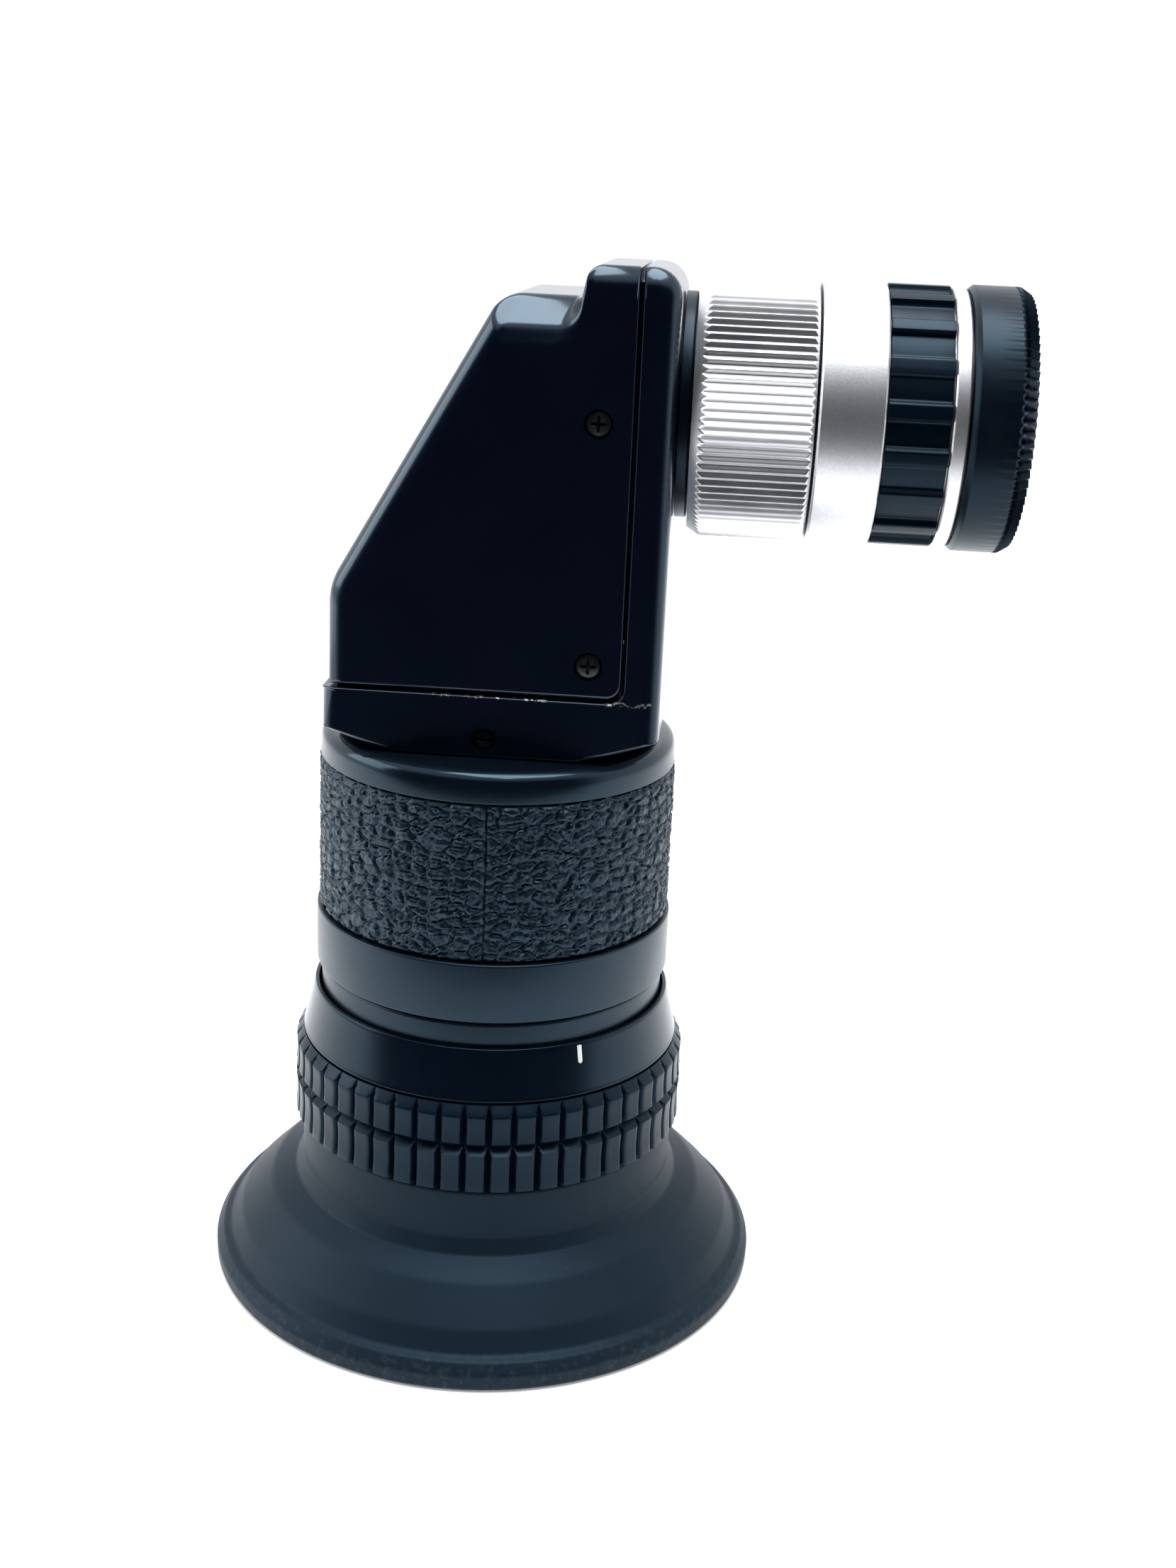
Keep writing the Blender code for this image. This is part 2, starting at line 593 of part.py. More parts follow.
for side, sign in sides.items():
    for level, height in screw_heights.items():
        low, high = sorted((sign * LUG_IN, sign * LUG_OUT))
        foot = FRAME_SHELF - 1 if level == "lower" else height - 1.9
        head = height + 1.9
        outline = [(LUG_LEFT, foot), (FRAME_FACE + 1, foot), (FRAME_FACE + 1, head), (LUG_LEFT, head)]
        name = f"lug_{side}_{level}"
        combine(frame, helper(name, extruded(name, outline, low, high), finder), "UNION")
        name = f"lug_hole_{side}_{level}"
        drill = peg(name, COVER_SCREW_SHANK_R + 0.12, LUG_IN - 1, LUG_OUT + 0.2, 12)
        hole = helper(name, drill, finder, at=(screw_x, 0, height))
        hole.rotation_euler = along((0, sign, 0))
        combine(frame, hole)

neck_drill = peg("neck_bore", NECK_THREAD_R + SEAT, COVER_SEAM_X - 1, WALL_X + 4, SMALL)
combine(frame, helper("neck_bore", neck_drill, tube, "X"))

set_z = Z_BASE + SET_SCREW_RISE
SLOT_HALF = 0.16      # half the width of the set screws' driver slot
SLOT_FLOOR = HOUSING_HALF - 0.8
for side, sign in sides.items():
    name = f"set_hole_{side}"
    drill = peg(name, SET_SCREW_R + 0.15, SPIGOT_R, HOUSING_HALF + 1, 12)
    hole = helper(name, drill, finder, at=(0, 0, set_z))
    hole.rotation_euler = along((0, sign, 0))
    combine(frame, hole)
    name = f"set_screw_{side}"
    body = peg(name, SET_SCREW_R, SPIGOT_R + SEAT, HOUSING_HALF - 0.45, 12)
    screw = place(name, body, "screw_steel", finder, at=(0, 0, set_z))
    screw.rotation_euler = along((0, sign, 0))
    slot = [(-SLOT_HALF, SLOT_FLOOR), (SLOT_HALF, SLOT_FLOOR), (SLOT_HALF, HOUSING_HALF), (-SLOT_HALF, HOUSING_HALF)]
    name = f"set_slot_{side}"
    cutter = helper(name, extruded(name, slot, -2, 2, plane="YZ"), finder, at=(0, 0, set_z))
    cutter.rotation_euler = along((0, sign, 0))
    combine(screw, cutter)


# ---- Prism cover: a stepped shell, open towards the base and the wall ----
def cover_outline(inset=0.0):
    """The cover's outline from the front; an inset gives the inside of its wall."""
    left = -COVER_LEFT + inset
    top, step = Z_TOP - inset, STEP_TOP - inset
    slope = Vector((SLOPE_X + COVER_LEFT, STEP_TOP - Z_SEAM - SLOPE_FOOT))
    lean = math.atan2(slope.x, slope.y)
    foot_z = Z_SEAM + SLOPE_FOOT - inset * math.tan(lean / 2)
    ridge_x = SLOPE_X + inset / math.cos(lean) - inset * math.tan(lean)
    past = CUT_PAST if inset else 0
    points = [(left, COVER_FOOT - past), (left, foot_z), (ridge_x, step)]
    points += [(STEP_X + inset - STEP_LEAN, step), (STEP_X + inset, top), (COVER_RIGHT + past, top)]
    if inset:
        return points + [(COVER_RIGHT + past, COVER_FOOT - past)]
    corner = COVER_CORNER_R
    return points + arc((COVER_RIGHT - corner, COVER_FOOT + corner), corner, 0, -90, 3)


cover_mesh = extruded("prism_cover", cover_outline(), -HOUSING_HALF, HOUSING_HALF)
cover = place("prism_cover", cover_mesh, "black_paint", finder)


def cover_round_edge(a, b):
    """The left, slanted and foot-of-slope edges of both large faces."""
    return same_side(a, b) and max(a.x, b.x) < SLOPE_X + 0.01 and abs(a.z - b.z) > 0.01


bevelled(cover, cover_round_edge, EDGE_ROUND)


def roof_cutter(name, sign, x_low, x_high, top, reach):
    """A wedge that slopes the long roof edge on one side."""
    edge = sign * HOUSING_HALF
    out, back = edge + sign * 2, edge - sign * (reach + 2)
    outline = [(out, top - reach - 2), (out, top + 2), (back, top + 2)]
    return helper(name, extruded(name, outline, x_low, x_high, plane="YZ"), finder)


for side, sign in sides.items():
    combine(cover, roof_cutter(f"low_roof_{side}", sign, -COVER_LEFT, STEP_X - 0.6, STEP_TOP, ROOF_CHAMFER))
    combine(cover, roof_cutter(f"high_roof_{side}", sign, STEP_X - 3, COVER_RIGHT + 2, Z_TOP, UPPER_CHAMFER))
INSIDE = HOUSING_HALF - COVER_WALL
cavity = extruded("cover_cavity", cover_outline(COVER_WALL), -INSIDE, INSIDE)
combine(cover, helper("cover_cavity", cavity, finder))


def cross_outline(arm=0.62, blade=0.15):
    """The plus sign of a cross recess."""
    quarter = [(arm, -blade), (arm, blade), (blade, blade)]
    points = []
    for cosine, sine in ((1, 0), (0, 1), (-1, 0), (0, -1)):
        points += [(x * cosine - y * sine, x * sine + y * cosine) for x, y in quarter]
    return points


for side, sign in sides.items():
    for level, height in screw_heights.items():
        name = f"cover_hole_{side}_{level}"
        bore, counterbore, ledge = COVER_SCREW_SHANK_R + 0.12, COVER_SCREW_HEAD_R + 0.12, HOUSING_HALF - 1.0
        steps = [(0, LUG_OUT - 1), (bore, LUG_OUT - 1), (bore, ledge), (counterbore, ledge),
                 (counterbore, HOUSING_HALF + 1), (0, HOUSING_HALF + 1)]
        hole = helper(name, turned(name, steps, 16, closed=False), finder, at=(screw_x, 0, height))
        hole.rotation_euler = along((0, sign, 0))
        combine(cover, hole)
        name = f"cover_screw_{side}_{level}"
        head_low, head_top = HOUSING_HALF - 0.85, HOUSING_HALF - 0.1
        tip, shank = LUG_IN + 0.6, COVER_SCREW_SHANK_R
        profile = [(0, tip), (shank, tip), (shank, head_low), (COVER_SCREW_HEAD_R, head_low),
                   (COVER_SCREW_HEAD_R, head_top - 0.2), (COVER_SCREW_HEAD_R - 0.35, head_top), (0, head_top)]
        head = turned(name, profile, 16, closed=False)
        screw = place(name, head, "screw_steel", finder, at=(screw_x, 0, height))
        screw.rotation_euler = along((0, sign, 0))
        name = f"{name}_cross"
        recess = extruded(name, cross_outline(), head_top - 0.4, head_top + 1, plane="XY")
        cutter = helper(name, recess, finder, at=(screw_x, 0, height))
        cutter.rotation_euler = along((0, sign, 0))
        combine(screw, cutter)

# ---- Prism, its bracket, spring and screws ----
PLATE_T = 1.4
PLATE_RIGHT = COVER_SEAM_X - 0.1
PLATE_LEFT = PLATE_RIGHT - PLATE_T
SEAT_TOP = Z_TUBE - PRISM_HALF - SEAT
SEAT_LOW = SEAT_TOP - PLATE_T
PLATE_TOP = Z_TUBE + 9.0
PORT_MARGIN = 1.65    # plate left beside the port
bracket_half = LUG_IN - SEAT - 0.3
bracket_outline = [
    (-PRISM_HALF, SEAT_LOW), (PLATE_RIGHT, SEAT_LOW), (PLATE_RIGHT, PLATE_TOP), (PLATE_LEFT, PLATE_TOP),
    (PLATE_LEFT, SEAT_TOP), (-PRISM_HALF, SEAT_TOP),
]
bracket_mesh = extruded("prism_bracket", bracket_outline, -bracket_half, bracket_half)
bracket = place("prism_bracket", bracket_mesh, "bright_aluminium", finder)
tube_port = peg("bracket_port", bracket_half - PORT_MARGIN, PLATE_LEFT - 2, PLATE_RIGHT + 2, SMALL)
combine(bracket, helper("bracket_port", tube_port, tube, "X"))
barrel_port = peg("seat_port", PRISM_HALF_WIDTH - 1.0, SEAT_LOW - 2, SEAT_TOP + 2, SMALL)
combine(bracket, helper("seat_port", barrel_port, finder))


def prism_mesh():
    """A right-angle prism whose long face is a roof: two planes that meet at 90 degrees."""
    half, width = PRISM_HALF, PRISM_HALF_WIDTH
    drop = width * math.sqrt(2)
    points = [(half, 0, half), (-half, 0, -half)]
    for side in (-width, width):
        points += [(half, side, -half), (half, side, half - drop), (-half + drop, side, -half)]
    bm = bmesh.new()
    verts = [bm.verts.new(Vector(p) * MM) for p in points]
    bmesh.ops.convex_hull(bm, input=verts)
    bmesh.ops.dissolve_limit(bm, angle_limit=0.001, verts=bm.verts, edges=bm.edges)
    return finish_mesh(bm, "roof_prism", smooth=False)


place("roof_prism", prism_mesh(), "lens_glass", tube)

# The spring runs level from the plate and bends down along the prism's 45 degree ridge.
RIDGE_LIFT = 0.5
SPRING_T = 0.35
SPRING_HALF_WIDTH = 2.5
rise = RIDGE_LIFT * math.sqrt(2)
thick = SPRING_T * math.sin(math.radians(45))
flat_z = Z_TUBE + PRISM_HALF + 0.4
bend_x = flat_z - rise - Z_TUBE
end_x = -PRISM_HALF * 0.35
end_z = Z_TUBE + end_x + rise
spring_left = PLATE_LEFT - 0.15
spring_outline = [
    (spring_left, flat_z), (bend_x, flat_z), (end_x, end_z), (end_x - thick, end_z + thick),
    (bend_x - SPRING_T * math.tan(math.radians(22.5)), flat_z + SPRING_T), (spring_left, flat_z + SPRING_T),
]
spring_mesh = extruded("prism_spring", spring_outline, -SPRING_HALF_WIDTH, SPRING_HALF_WIDTH)
place("prism_spring", spring_mesh, "spring_steel", finder)

BRACKET_SCREW_R = 0.6
BRACKET_SCREW_HEAD_R = 1.1
SCREW_MARGIN = 2.45   # from the plate's edge to the screw
for side, sign in sides.items():
    name = f"bracket_screw_{side}"
    spot = (0, sign * (bracket_half - SCREW_MARGIN), -PRISM_HALF - 3.0)
    drilled = ((bracket, PLATE_LEFT - 1, PLATE_RIGHT + 1), (frame, FRAME_FACE - 1, FRAME_FACE + 2.2))
    for target, start, end in drilled:
        cut_name = f"{name}_hole_{target.name}"
        drill = peg(cut_name, BRACKET_SCREW_R + 0.12, start, end, 12)
        combine(target, helper(cut_name, drill, tube, "X", at=spot))
    head_face, under_head, tip = PLATE_LEFT - 0.9, PLATE_LEFT - 0.15, FRAME_FACE + 1.9
    profile = [(0, head_face), (BRACKET_SCREW_HEAD_R, head_face), (BRACKET_SCREW_HEAD_R, under_head),
               (BRACKET_SCREW_R, under_head), (BRACKET_SCREW_R, tip), (0, tip)]
    place(name, turned(name, profile, 12, closed=False), "screw_steel", tube, "X", at=spot)

# ---- Neck tube, screwed into the wall ----
NECK_LOW = FRAME_FACE + 0.3
FLANGE_OUT = X_NECK - 0.12
SWIVEL_START = X_KNURL + SEAT
SNAP_LOW = X_RIB - 2.9
SNAP_T = 0.9
NECK_END = SNAP_LOW + SNAP_T + 1.0
SNAP_GROOVE_R = SWIVEL_R - 0.55

SNAP_HIGH = SNAP_LOW + SNAP_T
neck_profile = [
    (NECK_BORE_R, NECK_LOW), (NECK_BORE_R, NECK_END), (SWIVEL_R, NECK_END), (SWIVEL_R, SNAP_HIGH + 0.1),
    (SNAP_GROOVE_R, SNAP_HIGH + 0.1), (SNAP_GROOVE_R, SNAP_LOW - 0.1), (SWIVEL_R, SNAP_LOW - 0.1),
    (SWIVEL_R, X_KNURL + 0.1), (BEARING_R, X_KNURL + 0.1), (BEARING_R, FLANGE_OUT), (NECK_R, FLANGE_OUT),
    (NECK_R, WALL_X + 0.1), (NECK_THREAD_R, WALL_X + 0.1), (NECK_THREAD_R, NECK_LOW),
]
neck = place("neck_tube", turned("neck_tube", neck_profile), "black_anodised", tube, "X")

# The cam pin's straight slot runs along the neck and is cut upwards through one side.
PIN_START = X_NECK + RELAY_START
CAM_PIN_R = 0.8
slot_side = CAM_PIN_R + 0.2
slot_low = PIN_START - CAM_PIN_R - 0.3
slot_high = PIN_START + RELAY_TRAVEL + CAM_PIN_R + 0.3
pin_slot = [(slot_low, -slot_side), (slot_low, slot_side), (slot_high, slot_side), (slot_high, -slot_side)]
slot_mesh = extruded("straight_slot", pin_slot, NECK_BORE_R - 1.5, BEARING_R + 1, plane="XY")
combine(neck, helper("straight_slot", slot_mesh, tube))

snap_profile = tube_profile(SWIVEL_R + 0.8, SNAP_GROOVE_R + 0.1, SNAP_LOW, SNAP_HIGH)
place("snap_ring", turned("snap_ring", snap_profile, COARSE), "spring_steel", tube, "X")

# ---- Relay cell: slides in the neck, moved by its pin ----
CELL_R = NECK_BORE_R - RUN
CELL_LOW = PIN_START - 2.0
CELL_HIGH = CELL_LOW + 8.0
cell_profile = [
    (CELL_R, CELL_LOW), (CELL_R, CELL_HIGH), (CELL_R - 0.8, CELL_HIGH), (CELL_R - 0.8, CELL_LOW + 5.2),
    (CELL_R - 1.6, CELL_LOW + 5.2), (CELL_R - 1.6, CELL_LOW + 3.4), (CELL_R - 0.8, CELL_LOW + 3.4),
    (CELL_R - 0.8, CELL_LOW),
]
cell = place("relay_cell", turned("relay_cell", cell_profile), "black_anodised", relay, "X")
pin_drill = peg("cam_pin_hole", CAM_PIN_R + 0.1, CELL_R - 0.5, CELL_R + 2, 12)
combine(cell, helper("cam_pin_hole", pin_drill, relay, at=(PIN_START, 0, 0)))
cam_pin = peg("cam_pin", CAM_PIN_R, CELL_R - 0.4, BEARING_R + 0.95, 12)
place("cam_pin", cam_pin, "brass", relay, at=(PIN_START, 0, 0))
LENS_R = CELL_R - 0.9
inner_lens = lens("relay_lens_inner", LENS_R, CELL_LOW + 1.4, CELL_LOW + 3.2, 0.6, 0.0)
place("relay_lens_inner", inner_lens, "lens_glass", relay, "X")
outer_lens = lens("relay_lens_outer", LENS_R, CELL_LOW + 5.4, CELL_LOW + 6.8, 0.0, 0.6)
place("relay_lens_outer", outer_lens, "lens_glass", relay, "X")
lens_ring_profile = tube_profile(CELL_R - 0.88, LENS_R - 1.2, CELL_LOW + 0.1, CELL_LOW + 1.0)
place("relay_lens_ring", turned("relay_lens_ring", lens_ring_profile, COARSE), "black_anodised", relay, "X")

# ---- Magnification ring with its helical cam groove ----
RING_BORE_R = BEARING_R + RUN
RING_BEVEL = 0.55
ring_profile = [
    (RING_BORE_R, X_NECK), (RING_BORE_R, X_KNURL), (TUBE_R - 0.3, X_KNURL), (TUBE_R, X_KNURL - 0.3),
    (TUBE_R, X_NECK + RING_BEVEL), (TUBE_R - RING_BEVEL, X_NECK),
]
ring_mesh = turned("magnification_ring", ring_profile)
ring = place("magnification_ring", ring_mesh, "bright_aluminium", magnification, "X")


GROOVE_SPARE = 9.0    # degrees of groove past the pin at each end


def helical_groove():
    """A band that climbs with the ring's turn, deep enough for the cam pin's tip."""
    half = CAM_PIN_R + 0.25
    low_r, high_r = RING_BORE_R - 1.0, BEARING_R + 1.3
    turn = math.radians(RELAY_TURN)
    extra = math.radians(GROOVE_SPARE)
    steps = 16
    bm = bmesh.new()
    sections = []
    for i in range(steps + 1):
        angle = -extra + (turn + 2 * extra) * i / steps
        x = PIN_START + RELAY_TRAVEL * angle / turn
        section = []
        for radius, offset in ((low_r, -half), (high_r, -half), (high_r, half), (low_r, half)):
            spot = Vector((x + offset, radius * math.sin(angle), radius * math.cos(angle)))
            section.append(bm.verts.new(spot * MM))
        sections.append(section)
    for a, b in zip(sections, sections[1:]):
        for i in range(4):
            j = (i + 1) % 4
            bm.faces.new((a[i], a[j], b[j], b[i]))
    bm.faces.new(sections[0])
    bm.faces.new(list(reversed(sections[-1])))
    return finish_mesh(bm, "cam_groove", smooth=False)


combine(ring, helper("cam_groove", helical_groove(), magnification))

# ---- Mount tube: turns on the neck, carries the rubber ribs, the front lens and the nut ----
MOUNT_BORE_R = SWIVEL_R + RUN
CHAMBER_R = SWIVEL_R + 1.1
CHAMBER_LOW = SNAP_LOW - 0.2
CHAMBER_HIGH = NECK_END + 0.5
RIB_SEAT_R = RIB_R - 1.2
FRONT_BORE_R = 8.2
STOP_R = 7.2
FRONT_NECK_R = 9.5
FRONT_END = X_LIP + 2.95
FRONT_STOP = CHAMBER_HIGH + 0.7
mount_profile = [
    (MOUNT_BORE_R, SWIVEL_START), (MOUNT_BORE_R, CHAMBER_LOW), (CHAMBER_R, CHAMBER_LOW), (CHAMBER_R, CHAMBER_HIGH),
    (STOP_R, CHAMBER_HIGH), (STOP_R, FRONT_STOP), (FRONT_BORE_R, FRONT_STOP), (FRONT_BORE_R, FRONT_END),
    (FRONT_NECK_R, FRONT_END), (FRONT_NECK_R, X_LIP), (LIP_R, X_LIP), (LIP_R, X_RIB + 0.05),
    (RIB_SEAT_R, X_RIB + 0.05), (RIB_SEAT_R, X_SATIN), (TUBE_R, X_SATIN),
    (TUBE_R, SWIVEL_START + 0.15), (TUBE_R - 0.15, SWIVEL_START),
]
place("mount_tube", turned("mount_tube", mount_profile), "satin_chrome", mount, "X")


def rib_outline():
    """Narrow ribs with broad flutes between them, as a toothed circle."""
    points = []
    for i in range(RIB_COUNT):
        middle = math.tau * i / RIB_COUNT
        for share, radius in ((-0.24, RIB_R - RIB_DEPTH), (-0.14, RIB_R), (0.14, RIB_R), (0.24, RIB_R - RIB_DEPTH)):
            angle = middle + share * math.tau / RIB_COUNT
            points.append((radius * math.cos(angle), radius * math.sin(angle)))
    return points


rib_mesh = extruded("rib_grip", rib_outline(), X_SATIN + 0.12, X_RIB - 0.07, plane="XY")
rib_grip = place("rib_grip", rib_mesh, "rubber", mount, "X")
rib_drill = peg("rib_bore", RIB_SEAT_R + 0.15, X_SATIN - 1, X_RIB + 1, FINE)
combine(rib_grip, helper("rib_bore", rib_drill, mount, "X"))

front_glass = lens("front_lens", FRONT_BORE_R - 0.12, FRONT_STOP + SEAT, FRONT_STOP + 2.2, 0.0, 0.7)
place("front_lens", front_glass, "lens_glass", mount, "X")
front_ring_profile = tube_profile(FRONT_BORE_R - 0.1, STOP_R - 0.1, FRONT_STOP + 2.5, FRONT_STOP + 3.5)
place("front_lens_ring", turned("front_lens_ring", front_ring_profile, COARSE), "black_anodised", mount, "X")

# ---- Coupling nut, captive on the mount tube ----
NUT_LOW = X_LIP + SEAT
NUT_WEB = 1.2
NUT_BORE_R = NUT_R - 1.7
nut_profile = [
    (FRONT_NECK_R + RUN, NUT_LOW), (FRONT_NECK_R + RUN, NUT_LOW + NUT_WEB), (NUT_BORE_R, NUT_LOW + NUT_WEB),
    (NUT_BORE_R, TUBE_END), (NUT_R - NUT_BEVEL * 0.6, TUBE_END), (NUT_R, TUBE_END - NUT_BEVEL),
    (NUT_R, NUT_LOW + 0.35), (NUT_R - 0.35, NUT_LOW),
]
place("coupling_nut", turned("coupling_nut", nut_profile), "black_anodised", nut, "X")
keeper_profile = tube_profile(NUT_BORE_R - 0.3, FRONT_NECK_R + 0.12, NUT_LOW + NUT_WEB + 0.15, FRONT_END - 0.1)
place("nut_retainer", turned("nut_retainer", keeper_profile, COARSE), "spring_steel", mount, "X")
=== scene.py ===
# %% [markdown]
# # A right-angle viewfinder attachment
#
# A photographer screws this finder onto a camera's eyepiece to look down into it instead of straight
# through it. The imported model already holds every piece at its true size and place, so this lesson only
# makes the surfaces that the eye sees, and it gives each of them a finish. The imported model is loaded
# first.

import math

import bmesh
import bpy
import numpy as np
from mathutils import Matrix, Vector


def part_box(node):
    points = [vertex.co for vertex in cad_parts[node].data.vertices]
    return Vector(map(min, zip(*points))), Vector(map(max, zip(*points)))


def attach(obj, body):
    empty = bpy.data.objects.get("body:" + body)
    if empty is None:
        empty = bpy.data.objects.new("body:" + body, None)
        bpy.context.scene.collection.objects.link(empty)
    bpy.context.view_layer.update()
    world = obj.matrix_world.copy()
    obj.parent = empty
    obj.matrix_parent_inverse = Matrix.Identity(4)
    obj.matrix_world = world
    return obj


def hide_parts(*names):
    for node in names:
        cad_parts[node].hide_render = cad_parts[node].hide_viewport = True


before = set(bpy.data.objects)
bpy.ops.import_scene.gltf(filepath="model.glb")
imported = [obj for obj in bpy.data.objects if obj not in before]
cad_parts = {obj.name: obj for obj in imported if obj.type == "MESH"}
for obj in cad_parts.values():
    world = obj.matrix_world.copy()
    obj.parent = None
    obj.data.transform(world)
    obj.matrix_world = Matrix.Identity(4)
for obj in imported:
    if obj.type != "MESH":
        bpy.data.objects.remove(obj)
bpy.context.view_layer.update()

# %% [markdown]
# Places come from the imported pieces' own boxes, in millimetres. Two axes carry everything: the upright
# axis of the eyepiece barrel, and the level axis of the camera-side tube. A round piece is easiest to
# describe by its radius and its distance along one of these two axes.

# %% Measure the frame
MM = 0.001


def span(node):
    """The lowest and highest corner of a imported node, in millimetres."""
    low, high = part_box(node)
    return np.array(low) / MM, np.array(high) / MM


barrel_low, barrel_high = span("barrel_tube")
AXIS_X = (barrel_low[0] + barrel_high[0]) / 2
tube_low, tube_high = span("magnification_ring")
AXIS_Z = (tube_low[2] + tube_high[2]) / 2
frame_low, frame_high = span("housing_frame")
cover_low, cover_high = span("prism_cover")
HALF = frame_high[1]
print(f"barrel axis x = {AXIS_X:.2f} mm, tube axis z = {AXIS_Z:.2f} mm, housing half depth {HALF:.2f} mm")

# %% [markdown]
# Each new surface is a grid of points that numpy works out in one go. Neighbouring points become four-sided
# faces. A grid that closes on itself in both directions is already a sealed ring, and a grid whose first and
# last rows lie on the axis is sealed by merging those rows. The signed volume tells if the faces point
# outwards, and a shape that comes out inside out is turned round.

# %% Turn grids of points into meshes
def mesh_object(name, points, faces, sharp=40.0):
    """Points in millimetres and faces by index become an object at the origin with outward faces."""
    mesh = bpy.data.meshes.new(name)
    mesh.from_pydata((np.asarray(points) * MM).tolist(), [], faces)
    bm = bmesh.new()
    bm.from_mesh(mesh)
    bmesh.ops.remove_doubles(bm, verts=bm.verts, dist=0.0000005)
    bmesh.ops.dissolve_degenerate(bm, edges=bm.edges, dist=0.0000001)
    bmesh.ops.recalc_face_normals(bm, faces=bm.faces)
    if bm.calc_volume(signed=True) < 0:
        bmesh.ops.reverse_faces(bm, faces=bm.faces)
    bm.to_mesh(mesh)
    bm.free()
    mesh.shade_smooth()
    mesh.set_sharp_from_angle(angle=math.radians(sharp))
    made = bpy.data.objects.new(name, mesh)
    bpy.context.collection.objects.link(made)
    return made


def grid_faces(rows, columns, close_rows, close_columns, start=0):
    """Quads between neighbouring points of a grid numbered row by row."""
    i = np.arange(rows if close_rows else rows - 1)[:, None]
    j = np.arange(columns if close_columns else columns - 1)[None, :]
    down, right = (i + 1) % rows, (j + 1) % columns
    here, below = i * columns, down * columns
    quads = np.stack([here + j, below + j, below + right, here + right], axis=-1)
    return (quads.reshape(-1, 4) + start).tolist()


def grid_object(name, grid, close_rows=False, close_columns=True, sharp=40.0):
    """A grid of shape (rows, columns, 3) becomes an object."""
    rows, columns = grid.shape[:2]
    return mesh_object(name, grid.reshape(-1, 3), grid_faces(rows, columns, close_rows, close_columns), sharp)


# %% [markdown]
# A turned piece is drawn as half of its cut face: corners given as (radius, distance along the axis). On a
# real lathe no corner is perfectly sharp, and the tiny rounding is what catches a line of light. So every
# corner gets a radius of its own, and the outline is bent into arcs before it is spun.

# %% Round the corners of an outline
def rounded(corners, steps=5):
    """Each (u, v, radius) corner of a closed outline becomes an arc that touches both of its sides.

    The arc starts and ends at the distance radius times the tangent of half the turn from the corner.
    """
    spots = np.array([corner[:2] for corner in corners], float)
    radii = np.array([corner[2] if len(corner) > 2 else 0.0 for corner in corners], float)
    before = spots - np.roll(spots, 1, axis=0)
    after = np.roll(spots, -1, axis=0) - spots
    before_length = np.linalg.norm(before, axis=1)
    after_length = np.linalg.norm(after, axis=1)
    before /= before_length[:, None]
    after /= after_length[:, None]
    turn = np.arctan2(before[:, 0] * after[:, 1] - before[:, 1] * after[:, 0], (before * after).sum(1))
    reach = np.minimum(radii * np.tan(np.abs(turn) / 2), 0.49 * np.minimum(before_length, after_length))
    points = []
    starts, ends = spots - before * reach[:, None], spots + after * reach[:, None]
    for spot, start, end, distance in zip(spots, starts, ends, reach):
        if distance < 1e-6:
            points.append(spot[None])
            continue
        t = np.linspace(0, 1, steps)[:, None]
        points.append((1 - t) ** 2 * start + 2 * t * (1 - t) * spot + t ** 2 * end)
    return np.concatenate(points)


def spin(outline, segments, axis="Z", shape=None):
    """Spin an outline of (radius, distance) points: each point becomes a circle round the chosen axis.

    shape(radius, distance, angle) may change the radius before the circle is placed.
    """
    angle = np.arange(segments) / segments * math.tau
    radius = np.repeat(outline[:, :1], segments, axis=1)
    along = np.repeat(outline[:, 1:2], segments, axis=1)
    if shape is not None:
        radius = shape(radius, along, np.broadcast_to(angle, radius.shape))
    across, up = radius * np.cos(angle), radius * np.sin(angle)
    if axis == "Z":
        return np.stack([AXIS_X + across, up, along], axis=-1)
    return np.stack([AXIS_X + along, across, AXIS_Z + up], axis=-1)


def turned(name, corners, segments=160, axis="Z", steps=5, ring=True, shape=None, sharp=40.0):
    """A turned piece: a closed outline makes a ring, and an open one that starts on the axis makes a disc."""
    outline = rounded(corners, steps) if ring else np.array(corners, float)
    return grid_object(name, spin(outline, segments, axis, shape), close_rows=ring, sharp=sharp)


def finer(outline, step):
    """Extra points along a closed outline, so that no side of it is longer than the step."""
    after = np.roll(outline, -1, axis=0)
    counts = np.maximum(1, np.ceil(np.linalg.norm(after - outline, axis=1) / step)).astype(int)
    return np.concatenate([a + (b - a) * np.linspace(0, 1, n, endpoint=False)[:, None]
                           for a, b, n in zip(outline, after, counts)])


# %% [markdown]
# ## Finishes
#
# A finish is a material made of nodes. Effects that several finishes share are built once as node groups:
# a fine grain for turned and blasted metal, a scatter of dust specks, and a slow mottle that keeps a plain
# colour from looking printed. Each group takes the object's own coordinates, so a pattern stays put on its
# piece when the piece moves. A group gives out only masks and heights, and the shader stays in the material.

# %% Build node groups
def new_group(name, inputs, outputs):
    """An empty node group with float or vector sockets."""
    tree = bpy.data.node_groups.new(name, "ShaderNodeTree")
    for label, value in inputs.items():
        kind = "NodeSocketVector" if value is None else "NodeSocketFloat"
        socket = tree.interface.new_socket(name=label, in_out="INPUT", socket_type=kind)
        if value is not None:
            socket.default_value = value
    for label in outputs:
        tree.interface.new_socket(name=label, in_out="OUTPUT", socket_type="NodeSocketFloat")
    return tree, tree.nodes.new("NodeGroupInput"), tree.nodes.new("NodeGroupOutput")


def add(tree, kind, **settings):
    """A node of a kind: upper-case names of settings are its properties, and "inputs" are its socket values."""
    node = tree.nodes.new(kind)
    for label, value in settings.pop("inputs", {}).items():
        node.inputs[label].default_value = value
    for label, value in settings.items():
        setattr(node, label, value)
    return node


